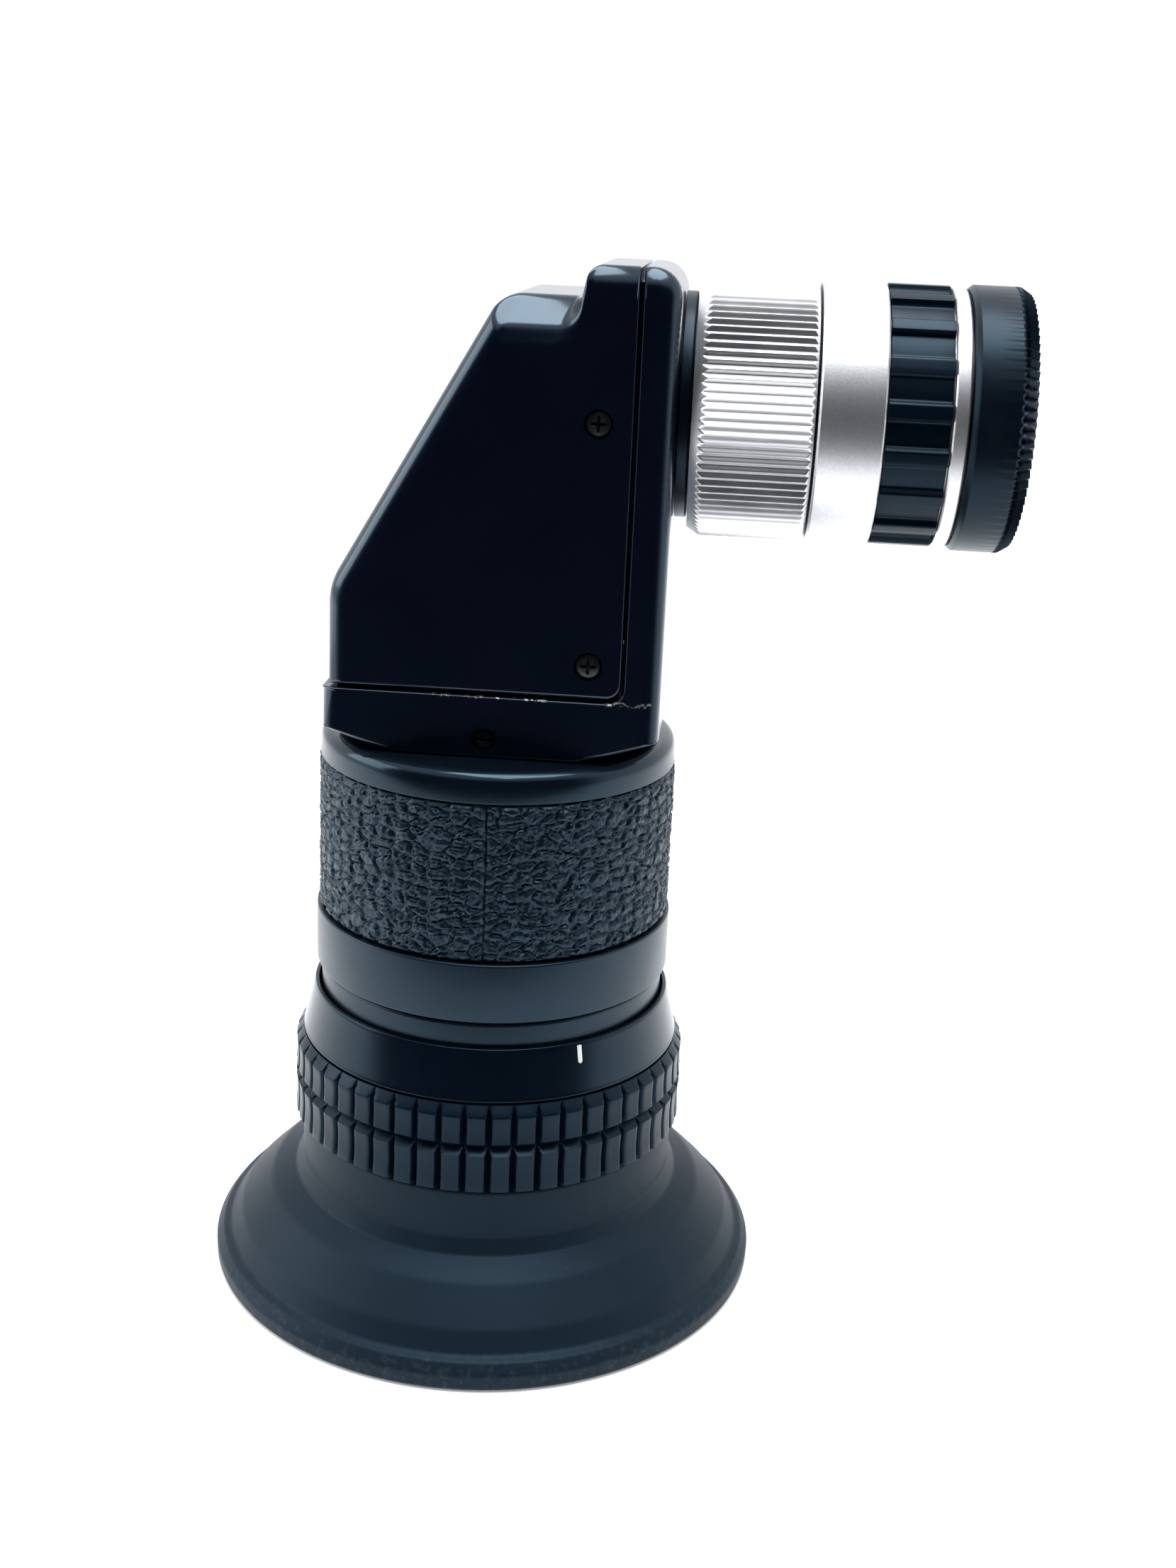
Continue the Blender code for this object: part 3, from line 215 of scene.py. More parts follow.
def noise(tree, vector, scale, detail=2.0, roughness=0.5):
    """Cloudy noise with a scale in bumps for each metre."""
    node = add(tree, "ShaderNodeTexNoise", inputs={"Detail": detail, "Roughness": roughness})
    tree.links.new(vector, node.inputs["Vector"])
    if isinstance(scale, (int, float)):
        node.inputs["Scale"].default_value = scale
    else:
        tree.links.new(scale, node.inputs["Scale"])
    return node.outputs["Fac"]


def mapped(tree, value, low, high, to_low=0.0, to_high=1.0):
    """A smooth step of a value from one range to another."""
    node = add(tree, "ShaderNodeMapRange", interpolation_type="SMOOTHSTEP")
    for label, given in (("From Min", low), ("From Max", high), ("To Min", to_low), ("To Max", to_high)):
        if isinstance(given, (int, float)):
            node.inputs[label].default_value = given
        else:
            tree.links.new(given, node.inputs[label])
    tree.links.new(value, node.inputs["Value"])
    return node.outputs["Result"]


def math_node(tree, operation, first, second=None):
    """One arithmetic node between sockets or numbers."""
    node = add(tree, "ShaderNodeMath", operation=operation)
    for i, given in enumerate((first, second)):
        if given is None:
            continue
        if isinstance(given, (int, float)):
            node.inputs[i].default_value = given
        else:
            tree.links.new(given, node.inputs[i])
    return node.outputs[0]


tree, given, result = new_group("grain", {"Vector": None, "Scale": 4000.0}, ["Height", "Mask"])
speckle = noise(tree, given.outputs["Vector"], given.outputs["Scale"], 3.0, 0.7)
tree.links.new(speckle, result.inputs["Height"])
tree.links.new(mapped(tree, speckle, 0.35, 0.65), result.inputs["Mask"])

tree, given, result = new_group("mottle", {"Vector": None, "Scale": 120.0}, ["Mask"])
tree.links.new(mapped(tree, noise(tree, given.outputs["Vector"], given.outputs["Scale"], 5.0, 0.6), 0.3, 0.7),
               result.inputs["Mask"])

tree, given, result = new_group("dust", {"Vector": None, "Scale": 900.0, "Size": 0.12, "Amount": 0.5}, ["Mask"])
cells = add(tree, "ShaderNodeTexVoronoi", feature="F1")
tree.links.new(given.outputs["Vector"], cells.inputs["Vector"])
tree.links.new(given.outputs["Scale"], cells.inputs["Scale"])
spot = mapped(tree, cells.outputs["Distance"], given.outputs["Size"], 0.0)
chance = mapped(tree, cells.outputs["Color"], given.outputs["Amount"], 1.0)
tree.links.new(math_node(tree, "MULTIPLY", spot, chance), result.inputs["Mask"])
print("node groups:", [group.name for group in bpy.data.node_groups])


# %% [markdown]
# A material function sets up one Principled shader. Values that are the same all over go straight onto the
# shader's own sockets, and only what changes over the surface is linked: colour, roughness and the bump.

# %% Build a material
class Finish:
    """A material with its shader, its object coordinates and short ways to vary colour, gloss and relief."""

    def __init__(self, name, color, roughness, metallic=0.0, coat=0.0, coat_roughness=0.1, **more):
        self.material = bpy.data.materials.new(name)
        self.material.use_nodes = True
        self.tree = self.material.node_tree
        self.shader = self.tree.nodes["Principled BSDF"]
        self.color = (*color, 1.0)
        self.roughness = roughness
        values = {"Base Color": self.color, "Roughness": roughness, "Metallic": metallic,
                  "Coat Weight": coat, "Coat Roughness": coat_roughness, **more}
        for label, value in values.items():
            self.shader.inputs[label].default_value = value
        self.place = self.tree.nodes.new("ShaderNodeTexCoord").outputs["Object"]
        self.height = None

    def group(self, name, **values):
        """A node group on the object's coordinates."""
        node = self.tree.nodes.new("ShaderNodeGroup")
        node.node_tree = bpy.data.node_groups[name]
        self.tree.links.new(self.place, node.inputs["Vector"])
        for label, value in values.items():
            node.inputs[label].default_value = value
        return node

    def tint(self, mask, color, amount=1.0):
        """Mix another colour over the present one where the mask is white."""
        mix = add(self.tree, "ShaderNodeMix", data_type="RGBA")
        socket = self.shader.inputs["Base Color"]
        if socket.is_linked:
            self.tree.links.new(socket.links[0].from_socket, mix.inputs[6])
        else:
            mix.inputs[6].default_value = self.color
        mix.inputs[7].default_value = (*color, 1.0)
        self.tree.links.new(math_node(self.tree, "MULTIPLY", mask, amount), mix.inputs[0])
        self.tree.links.new(mix.outputs[2], socket)

    def mottle(self, scale):
        """The mask of soft blotches."""
        return self.group("mottle", Scale=scale).outputs["Mask"]

    def specks(self, scale, size, amount, color, share):
        """Specks of dust in a colour, mixed in by a share."""
        mask = self.group("dust", Scale=scale, Size=size, Amount=amount).outputs["Mask"]
        self.tint(mask, color, share)

    def grain(self, scale, distance, strength=1.0):
        """Fine grain as relief."""
        self.relief(self.group("grain", Scale=scale).outputs["Height"], distance, strength)

    def gloss(self, mask, roughness):
        """Change the roughness where the mask is white."""
        mix = add(self.tree, "ShaderNodeMix", data_type="FLOAT")
        socket = self.shader.inputs["Roughness"]
        if socket.is_linked:
            self.tree.links.new(socket.links[0].from_socket, mix.inputs[2])
        else:
            mix.inputs[2].default_value = self.roughness
        mix.inputs[3].default_value = roughness
        self.tree.links.new(mask, mix.inputs[0])
        self.tree.links.new(mix.outputs[0], socket)

    def metal(self, mask):
        """Bare metal where the mask is white."""
        self.tree.links.new(mask, self.shader.inputs["Metallic"])

    def relief(self, height, distance, strength=1.0):
        """A bump whose full height is the given distance in millimetres."""
        bump = add(self.tree, "ShaderNodeBump", inputs={"Distance": distance * MM, "Strength": strength})
        socket = self.shader.inputs["Normal"]
        if socket.is_linked:
            self.tree.links.new(socket.links[0].from_socket, bump.inputs["Normal"])
        self.tree.links.new(height, bump.inputs["Height"])
        self.tree.links.new(bump.outputs["Normal"], socket)


def band_mask(finish, axis, middle, half):
    """White within a distance of a plane across one axis, in millimetres, fading over the same distance."""
    split = finish.tree.nodes.new("ShaderNodeSeparateXYZ")
    finish.tree.links.new(finish.place, split.inputs[0])
    offset = math_node(finish.tree, "SUBTRACT", split.outputs[axis], middle * MM)
    away = math_node(finish.tree, "ABSOLUTE", offset)
    return mapped(finish.tree, away, half * MM, 0.0)


# %% [markdown]
# The housing is a casting in black enamel. It is glossy, with a faint unevenness from the sprayed coat, and
# the enamel has chipped to bright metal here and there along the lip below the cover. The chips are a noise
# that only counts inside a narrow band round that lip. All the blacks here are a very dark blue, and what they
# reflect head-on is tinted cool too, as it is on aged black enamel and anodising.

# %% Paint for the housing
COOL = (0.45, 0.75, 1.0, 1.0)
ENAMEL, ENAMEL_PALE = (0.0016, 0.003, 0.0085), (0.0025, 0.004, 0.0105)


def blue_black(name, color, roughness, level=0.5, **more):
    """A black whose reflections are cool when seen head-on and plain at a glancing angle."""
    more.update({"Specular IOR Level": level, "Specular Tint": COOL})
    return Finish(name, color, roughness, **more)


paint = blue_black("black_paint", ENAMEL, 0.2, coat=0.25, coat_roughness=0.08)
paint.relief(noise(paint.tree, paint.place, 900.0, 2.0), 0.004, 0.35)
paint.tint(paint.mottle(160.0), ENAMEL_PALE)
paint.specks(420.0, 0.09, 0.93, (0.35, 0.36, 0.38), 0.7)

LIP_Z = cover_low[2] - 0.35
worn = blue_black("worn_black_paint", ENAMEL, 0.2, coat=0.25, coat_roughness=0.08)
worn.relief(noise(worn.tree, worn.place, 900.0, 2.0), 0.004, 0.35)
worn.tint(worn.mottle(160.0), ENAMEL_PALE)
chips = mapped(worn.tree, noise(worn.tree, worn.place, 1500.0, 4.0, 0.7), 0.53, 0.56)
patch = mapped(worn.tree, noise(worn.tree, worn.place, 110.0, 1.0), 0.5, 0.56)
lip = math_node(worn.tree, "MULTIPLY", band_mask(worn, 2, LIP_Z, 0.28), band_mask(worn, 1, -HALF, 0.6))
chip = math_node(worn.tree, "MULTIPLY", math_node(worn.tree, "MULTIPLY", chips, patch), lip)
worn.tint(chip, (0.75, 0.74, 0.72))
worn.metal(chip)

# %% [markdown]
# The turned pieces of the barrel are black anodised aluminium: satin, with faint rings left by the tool. The
# rings are a wave across the barrel's height with a pitch of a few hundredths of a millimetre, and they only
# change the relief.

# %% Anodised black, plain and with tool rings
def tool_rings(finish, axis, pitch, distance, strength=0.3):
    """Fine rings across one axis of the piece, as a lathe leaves them."""
    split = finish.tree.nodes.new("ShaderNodeSeparateXYZ")
    finish.tree.links.new(finish.place, split.inputs[0])
    turns = math_node(finish.tree, "MULTIPLY", split.outputs[axis], math.tau / (pitch * MM))
    wave = math_node(finish.tree, "SINE", turns)
    finish.relief(wave, distance, strength)


anodised = blue_black("black_anodised", (0.0025, 0.005, 0.0095), 0.3, 0.45)
anodised.gloss(anodised.mottle(200.0), 0.34)
anodised.gloss(band_mask(anodised, 2, frame_low[2] - 0.3, 2.8), 0.1)
anodised.specks(700.0, 0.1, 0.9, (0.3, 0.31, 0.33), 0.5)
tool_rings(anodised, 2, 0.09, 0.002, 0.25)

ring_black = blue_black("ring_anodised", (0.0015, 0.0035, 0.008), 0.17, 0.35)
ring_black.gloss(ring_black.mottle(200.0), 0.2)
ring_black.specks(700.0, 0.1, 0.92, (0.3, 0.31, 0.33), 0.3)
tool_rings(ring_black, 2, 0.09, 0.001, 0.2)

satin_black = blue_black("satin_black", (0.0015, 0.0035, 0.0085), 0.34, 0.25)
satin_black.grain(3800.0, 0.012, 0.35)
satin_black.tint(satin_black.mottle(300.0), (0.004, 0.006, 0.012))

# %% [markdown]
# Two rubbers are on this object. The grips are moulded hard rubber, dark and fairly smooth. The eyecup is
# soft and matt, it greys with age, and it collects dust, most of all on its rim.

# %% Rubber for the grips and for the eyecup
grip_rubber = blue_black("grip_rubber", (0.001, 0.004, 0.01), 0.34, 0.25)
grip_rubber.grain(2600.0, 0.01, 0.3)
grip_rubber.specks(800.0, 0.12, 0.88, (0.3, 0.32, 0.34), 0.25)

cup_low, cup_high = span("eyecup")
cup_rubber = blue_black("eyecup_rubber", (0.0025, 0.0065, 0.012), 0.5, 0.25)
cup_rubber.grain(2200.0, 0.014, 0.3)
cup_rubber.tint(cup_rubber.mottle(90.0), (0.0035, 0.0085, 0.0145))
cup_rubber.specks(620.0, 0.13, 0.8, (0.3, 0.32, 0.34), 0.3)
rim_dirt = math_node(cup_rubber.tree, "MULTIPLY", band_mask(cup_rubber, 2, 1.0, 3.0),
                     mapped(cup_rubber.tree, noise(cup_rubber.tree, cup_rubber.place, 1400.0, 5.0, 0.7),
                            0.48, 0.66))
cup_rubber.tint(rim_dirt, (0.05, 0.055, 0.06), 0.35)

# %% [markdown]
# The barrel's wrap is leatherette: a coarse pebble pressed into a thin vinyl sheet. The pebbles are made as
# real relief further down, so the finish adds only the fine creases on top and the slight shine of the vinyl.

# %% Leatherette
leatherette = blue_black("leatherette", (0.001, 0.004, 0.009), 0.28, 0.5)
leatherette.relief(noise(leatherette.tree, leatherette.place, 2600.0, 4.0, 0.65), 0.05, 0.5)
leatherette.gloss(leatherette.mottle(900.0), 0.5)
leatherette.specks(500.0, 0.1, 0.94, (0.6, 0.6, 0.6), 0.8)

# %% [markdown]
# The camera-side tube has three bright finishes: a knurled ring of bright aluminium, a sleeve that was
# blasted and then chromed, which gives a soft frosted shine, and polished edges.

# %% Bright metals
knurl_metal = Finish("knurled_aluminium", (0.86, 0.86, 0.87), 0.4, metallic=1.0)
knurl_metal.gloss(knurl_metal.mottle(300.0), 0.36)
knurl_metal.grain(6000.0, 0.003, 0.2)
knurl_metal.tint(knurl_metal.mottle(300.0), (0.78, 0.775, 0.79), 0.4)

frosted = Finish("satin_chrome", (0.74, 0.745, 0.755), 0.42, metallic=1.0)
frosted.grain(5200.0, 0.018, 0.5)
frosted.tint(frosted.group("grain", Scale=3400.0).outputs["Mask"], (0.62, 0.62, 0.635), 0.6)

steel = Finish("spring_steel", (0.5, 0.5, 0.52), 0.28, metallic=1.0)
steel.tint(steel.mottle(500.0), (0.4, 0.41, 0.44))
steel.grain(3000.0, 0.01, 0.3)

plate = Finish("milled_aluminium", (0.72, 0.73, 0.75), 0.3, metallic=1.0)
plate.gloss(plate.mottle(300.0), 0.42)
tool_rings(plate, 1, 0.25, 0.006, 0.3)

brass = Finish("brass", (0.62, 0.44, 0.18), 0.28, metallic=1.0)
brass.tint(brass.mottle(800.0), (0.45, 0.32, 0.14))

screw_black = Finish("screw_steel", (0.022, 0.023, 0.026), 0.32, metallic=0.75)
screw_black.grain(5000.0, 0.02, 0.5)
screw_black.tint(screw_black.mottle(1200.0), (0.05, 0.052, 0.058))

white_fill = Finish("white_fill", (0.82, 0.82, 0.8), 0.45)
white_fill.tint(white_fill.mottle(1500.0), (0.66, 0.66, 0.63), 0.6)
white_fill.grain(4000.0, 0.02, 0.4)

# %% [markdown]
# Glass is clear with a thin coating that gives its reflections a colour. The transmission and the index of
# refraction are plain numbers on the shader, and a faint mottle in the tint stands for the coating.

# %% Coated glass
def coated_glass(name, tint, second):
    """Clear glass whose tint wanders a little between two colours."""
    finish = Finish(name, tint, 0.02, IOR=1.52, **{"Transmission Weight": 1.0})
    finish.tint(finish.mottle(60.0), second, 0.7)
    return finish


eye_glass = coated_glass("eye_lens_glass", (0.93, 0.97, 1.0), (0.9, 0.9, 1.0))
front_glass = coated_glass("front_lens_glass", (0.95, 0.93, 1.0), (0.86, 0.95, 1.0))
prism_glass = coated_glass("prism_glass", (0.95, 1.0, 0.98), (0.92, 0.98, 1.0))
print("finishes:", len(bpy.data.materials))


# %% Give a new piece its finish, body and place in the model
def settle(piece, finish, body, slot, *nodes):
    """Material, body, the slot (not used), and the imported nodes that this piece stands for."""
    piece.data.materials.clear()
    piece.data.materials.append(finish.material)
    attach(piece, body)
    if nodes:
        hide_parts(*nodes)
    print(f"{piece.name}: {len(piece.data.polygons)} faces on {body}")
    return piece


# %% [markdown]
# ## Housing
#
# The two castings of the housing are flat boxes with soft edges, and each edge is different: the slanted back
# is well rounded, the roof has a sloping bevel, and the edges at the seam are nearly sharp. One way is to
# bevel a box, but a bevel has one width for all. Here the outline of the casting is drawn once, and rings of
# it are laid one behind the other from the side wall to the flat face. In each ring every side of the outline
# is moved in by its own distance and sits at its own depth, so that each edge follows its own profile.

# %% Rings of an outline whose sides move in by different amounts
def ring_points(corners, radii, inset, depth, corner_steps, side_steps):
    """One ring of the outline: side i is moved in by inset[i] and lies at depth[i].

    The moved sides are lines, and each new corner is where two neighbours cross. An arc replaces the corner.
    Along the arc the depth goes smoothly from one side's value to the next one's.
    """
    spots = np.asarray(corners, float)
    way = np.roll(spots, -1, axis=0) - spots
    way /= np.linalg.norm(way, axis=1)[:, None]
    inward = np.stack([-way[:, 1], way[:, 0]], axis=1)
    moved = spots + inward * inset[:, None]
    back_way, back_moved, back_inset = np.roll(way, 1, axis=0), np.roll(moved, 1, axis=0), np.roll(inset, 1)
    cross = back_way[:, 0] * way[:, 1] - back_way[:, 1] * way[:, 0]
    gap = moved - back_moved
    along = (gap[:, 0] * way[:, 1] - gap[:, 1] * way[:, 0]) / cross
    crossing = back_moved + back_way * along[:, None]
    turn = np.arctan2(cross, (back_way * way).sum(1))
    both = (inset + back_inset) / 2
    radius = np.where(turn > 0, np.maximum(radii - both, 0.12), radii + both)
    reach = radius * np.tan(np.abs(turn) / 2)
    t = np.linspace(0, 1, corner_steps)
    rows = []
    count = len(spots)
    for i in range(count):
        start = crossing[i] - back_way[i] * reach[i]
        center = start + np.array([-back_way[i][1], back_way[i][0]]) * radius[i] * np.sign(turn[i])
        arm = start - center
        swing = turn[i] * t
        arc = center + np.stack([arm[0] * np.cos(swing) - arm[1] * np.sin(swing),
                                 arm[0] * np.sin(swing) + arm[1] * np.cos(swing)], axis=1)
        blend = t * t * (3 - 2 * t)
        level = depth[i - 1] + (depth[i] - depth[i - 1]) * blend
        rows.append(np.column_stack([arc, level]))
        j = (i + 1) % count
        end = crossing[j] - way[i] * reach[j]
        s = np.linspace(0, 1, side_steps[i] + 1)[1:-1, None]
        side = arc[-1] + (end - arc[-1]) * s
        rows.append(np.column_stack([side, np.full(len(side), depth[i])]))
    return np.concatenate(rows)


def edge_profile(kind, count):
    """(inset, depth) pairs from the side wall to the flat face.

    A number is a quarter circle of that radius. A list is an outline with rounded corners, cut into equal
    steps.
    """
    if isinstance(kind, (int, float)):
        angle = np.linspace(0, math.pi / 2, count)
        return np.stack([kind * (1 - np.cos(angle)), kind * (1 - np.sin(angle))], axis=1)
    path = [np.array(kind[0][:2], float)[None]]
    for before, here, after in zip(kind, kind[1:], kind[2:]):
        a, b, c = (np.array(p[:2], float) for p in (before, here, after))
        reach = min(here[2], 0.49 * np.linalg.norm(b - a), 0.49 * np.linalg.norm(c - b))
        start = b + (a - b) / np.linalg.norm(a - b) * reach
        end = b + (c - b) / np.linalg.norm(c - b) * reach
        t = np.linspace(0, 1, 7)[:, None]
        path.append((1 - t) ** 2 * start + 2 * t * (1 - t) * b + t ** 2 * end)
    path.append(np.array(kind[-1][:2], float)[None])
    path = np.concatenate(path)
    length = np.concatenate([[0], np.cumsum(np.linalg.norm(np.diff(path, axis=0), axis=1))])
    even = np.linspace(0, length[-1], count)
    return np.stack([np.interp(even, length, path[:, 0]), np.interp(even, length, path[:, 1])], axis=1)


def casting(name, corners, radii, kinds, half, side_steps=None, rings=14, across=2, bend=None):
    """A flat box with the given outline: both faces flat, each edge with its own profile.

    bend(points) may move the points before the mesh is made.
    """
    profiles = np.stack([edge_profile(kind, rings) for kind in kinds])
    corner_steps = 9
    side_steps = side_steps or [1] * len(corners)
    radii = np.asarray(radii, float)
    flat = 0.3
    rows = [ring_points(corners, radii, profiles[:, k, 0], profiles[:, k, 1], corner_steps, side_steps)
            for k in range(rings)]
    rows.append(ring_points(corners, radii, profiles[:, -1, 0] + flat, profiles[:, -1, 1], corner_steps,
                            side_steps))
    front = np.stack(rows)
    front = np.stack([front[..., 0], -half + front[..., 2], front[..., 1]], axis=-1)[::-1]
    back = front[::-1] * [1, -1, 1]
    t = np.linspace(0, 1, across + 1)[1:-1, None, None]
    wall = front[-1] + (back[0] - front[-1]) * t
    grid = np.concatenate([front, wall, back])
    grid[..., 0] += AXIS_X
    if bend is not None:
        grid = bend(grid)
    rows_count, columns = grid.shape[:2]
    faces = grid_faces(rows_count, columns, False, True)
    faces.append(list(range(columns)))
    faces.append(list(reversed(range((rows_count - 1) * columns, rows_count * columns))))
    return mesh_object(name, grid.reshape(-1, 3), faces, sharp=50.0)


def carve(piece, *tools, sharp=50.0):
    """Cut or join helper objects with exact Booleans, keep the finished mesh, and delete the helpers.

    Each tool is a pair of an object and an operation.
    """
    for tool, operation in tools:
        change = piece.modifiers.new(tool.name, "BOOLEAN")
        change.object = tool
        change.operation = operation
        change.solver = "EXACT"
    bpy.context.view_layer.update()
    finished = bpy.data.meshes.new_from_object(piece.evaluated_get(bpy.context.evaluated_depsgraph_get()))
    piece.modifiers.clear()
    piece.data = finished
    finished.shade_smooth()
    finished.set_sharp_from_angle(angle=math.radians(sharp))
    for tool, _ in tools:
        bpy.data.objects.remove(tool, do_unlink=True)
    return piece


def rod(name, radius, start, end, centre, direction, segments=64):
    """A plain cylinder used as a tool, along Y or X or Z through a centre point in millimetres."""
    angle = np.arange(segments) / segments * math.tau
    grid = np.empty((4, segments, 3))
    for row, (r, along) in enumerate(((0, start), (radius, start), (radius, end), (0, end))):
        a, b = r * np.cos(angle), r * np.sin(angle)
        c = np.full(segments, float(along))
        grid[row] = np.stack({"X": (c, a, b), "Y": (a, c, b), "Z": (a, b, c)}[direction], axis=-1) + centre
    return grid_object(name, grid)


def block(name, low, high):
    """A plain box between two corners in millimetres."""
    low, high = np.asarray(low, float), np.asarray(high, float)
    share = np.array([[0, 0, 0], [1, 0, 0], [1, 1, 0], [0, 1, 0], [0, 0, 1], [1, 0, 1], [1, 1, 1], [0, 1, 1]])
    faces = [[0, 3, 2, 1], [4, 5, 6, 7], [0, 1, 5, 4], [1, 2, 6, 5], [2, 3, 7, 6], [3, 0, 4, 7]]
    return mesh_object(name, low + (high - low) * share, faces)


# %% [markdown]
# The frame casting is an L seen from the front: the base on the barrel and the wall that carries the tube.
# Its underside is flat in the middle and rises towards the corners like a shallow cone, where the tool that
# faced the seat ran out. That rise is added by lifting the points near the underside by the height of the
# cone at their distance from the barrel's axis. A tongue on the wall and one on the base fill most of the
# seam behind the edges, as a rabbet does on the real casting, so that no light shows through.

# %% Frame casting
SEAM = 0.35
WALL_X = frame_high[0] - AXIS_X
BASE_LEFT = AXIS_X - frame_low[0]
BASE_Z, TOP_Z = frame_low[2], frame_high[2]
SEAM_X = cover_high[0] - AXIS_X + SEAM
SHELF_Z = cover_low[2] - SEAM
CONE_FROM, CONE_RISE = 15.2, 0.47
SEAM_EDGE, LIP_EDGE = 0.22, 0.3
SIDE_ROUND, WALL_ROUND = 1.6, 1.9
roof_edge = [(0, 2.4), (0, 1.35, 0.35), (1.2, 0.25, 0.7), (3.2, 0)]


def cone_underside(grid):
    """Lift points by the cone's height, fully at the underside and not at all 4 mm above it."""
    away = np.hypot(grid[..., 0] - AXIS_X, grid[..., 1])
    rise = CONE_RISE * (np.hypot(np.maximum(away - CONE_FROM, 0) + 0.6, 0.6) - 0.6 * math.sqrt(2))
    share = np.clip(1 - (grid[..., 2] - BASE_Z) / 4.0, 0, 1)
    grid[..., 2] += np.maximum(rise, 0) * share
    return grid


frame_corners = [(-BASE_LEFT, BASE_Z), (WALL_X, BASE_Z), (WALL_X, TOP_Z), (SEAM_X, TOP_Z), (SEAM_X, SHELF_Z),
                 (-BASE_LEFT, SHELF_Z)]
frame_piece = casting("frame_casting", frame_corners, [0.5, 0.6, 2.6, 0.15, 1.4, 0.2],
                      [0.38, WALL_ROUND, roof_edge, SEAM_EDGE, LIP_EDGE, SIDE_ROUND], HALF,
                      side_steps=[40, 1, 1, 1, 1, 1], across=28, bend=cone_underside)
SPIGOT_HOLE_R, NECK_HOLE_R = 9.75, 8.65
DISH_DEPTH, DISH_R, SET_SCREW_R = 0.35, 1.25, 0.95
TONGUE_PLAY = 0.06
wall_middle = np.array([AXIS_X, 0, AXIS_Z])
barrel_axis = np.array([AXIS_X, 0, 0])
tongue = HALF - 1.1
tools = [(block("wall_tongue", (AXIS_X + SEAM_X - SEAM + TONGUE_PLAY, -tongue, SHELF_Z - 0.5),
                (AXIS_X + SEAM_X + 0.6, tongue, TOP_Z - 1.3)), "UNION"),
         (block("base_tongue", (AXIS_X - BASE_LEFT + 1.4, -tongue, SHELF_Z - 0.6),
                (AXIS_X + SEAM_X + 0.4, tongue, SHELF_Z + SEAM - TONGUE_PLAY)), "UNION"),
         (rod("spigot_tool", SPIGOT_HOLE_R, BASE_Z - 3, SHELF_Z + 3, barrel_axis, "Z"), "DIFFERENCE"),
         (rod("neck_tool", NECK_HOLE_R, SEAM_X - 3, WALL_X + 3, wall_middle, "X"), "DIFFERENCE")]
screw_spots = {}
for node in ("set_screw_front", "set_screw_back"):
    low, high = span(node)
    sign = -1 if "front" in node else 1
    middle = (low + high) / 2
    screw_spots[node] = (middle, sign)
    spot = np.array([middle[0], 0, middle[2]])
    start, end = sorted((sign * (HALF - 3.2), sign * (HALF + 1)))
    tools.append((rod(f"{node}_tool", SET_SCREW_R, start, end, spot, "Y", 48), "DIFFERENCE"))
    start, end = sorted((sign * (HALF - DISH_DEPTH), sign * (HALF + 1)))
    tools.append((rod(f"{node}_dish", DISH_R, start, end, spot, "Y", 48), "DIFFERENCE"))
carve(frame_piece, *tools)
settle(frame_piece, worn, "finder", "black_paint", "housing_frame")

# %% [markdown]
# The cover is a shell: the same kind of casting with its inside carved out by a second, smaller outline that
# runs out through the two open sides. Four counterbored holes take its screws.

# %% Prism cover
COVER_LEFT = AXIS_X - cover_low[0]
COVER_RIGHT, COVER_FOOT = cover_high[0] - AXIS_X, cover_low[2]
STEP_Z = TOP_Z - 2.8
SLOPE_TOP, SLOPE_FOOT = 0.3, 73.05
STEP_X = 7.45
low_roof_edge = [(0, 4.0), (0, 3.15, 0.5), (2.62, 0.55, 0.22), (4.35, 0)]
cover_corners = [(-COVER_LEFT, COVER_FOOT), (COVER_RIGHT, COVER_FOOT), (COVER_RIGHT, TOP_Z),
                 (STEP_X + 0.6, TOP_Z),
                 (STEP_X, STEP_Z), (SLOPE_TOP, STEP_Z), (-COVER_LEFT, SLOPE_FOOT)]
cover_piece = casting("cover_casting", cover_corners, [0.2, 1.4, 0.15, 1.5, 0.8, 3.2, 6.5],
                      [0.4, SEAM_EDGE, roof_edge, 0.5, low_roof_edge, 2.3, 2.1], HALF, rings=18, across=2)
WALL = 1.6
inside_corners = [(-COVER_LEFT + WALL, COVER_FOOT - 4), (COVER_RIGHT + 4, COVER_FOOT - 4),
                  (COVER_RIGHT + 4, TOP_Z - 2.0), (STEP_X + 2.2, TOP_Z - 2.0),
                  (STEP_X + 2.2, STEP_Z - 3.4), (SLOPE_TOP + 2.2, STEP_Z - 3.4),
                  (-COVER_LEFT + WALL, SLOPE_FOOT - 1.0)]
tools = [(casting("cover_inside", inside_corners, [0.2] * 7, [0.3] * 7, HALF - WALL, rings=3), "DIFFERENCE")]
HEAD_R = 1.15
for side, sign in (("front", -1), ("back", 1)):
    for level in ("lower", "upper"):
        node = f"cover_screw_{side}_{level}"
        low, high = span(node)
        middle = (low + high) / 2
        screw_spots[node] = (middle, sign)
        spot = np.array([middle[0], 0, middle[2]])
        for radius, depth in ((HEAD_R + 0.16, 1.0), (0.75, 4.0)):
            start, end = sorted((sign * (HALF - depth), sign * (HALF + 1)))
            tools.append((rod(f"{node}_{radius:.2f}", radius, start, end, spot, "Y", 64), "DIFFERENCE"))
carve(cover_piece, *tools)
settle(cover_piece, paint, "finder", "black_paint", "prism_cover")

# %% [markdown]
# A screw head is a disc of circles whose height is worked out from its plan: a low dome, a soft rim, and a
# recess where the driver goes. The recess is the plan distance to a cross or to a straight slot, turned into
# a steep step.

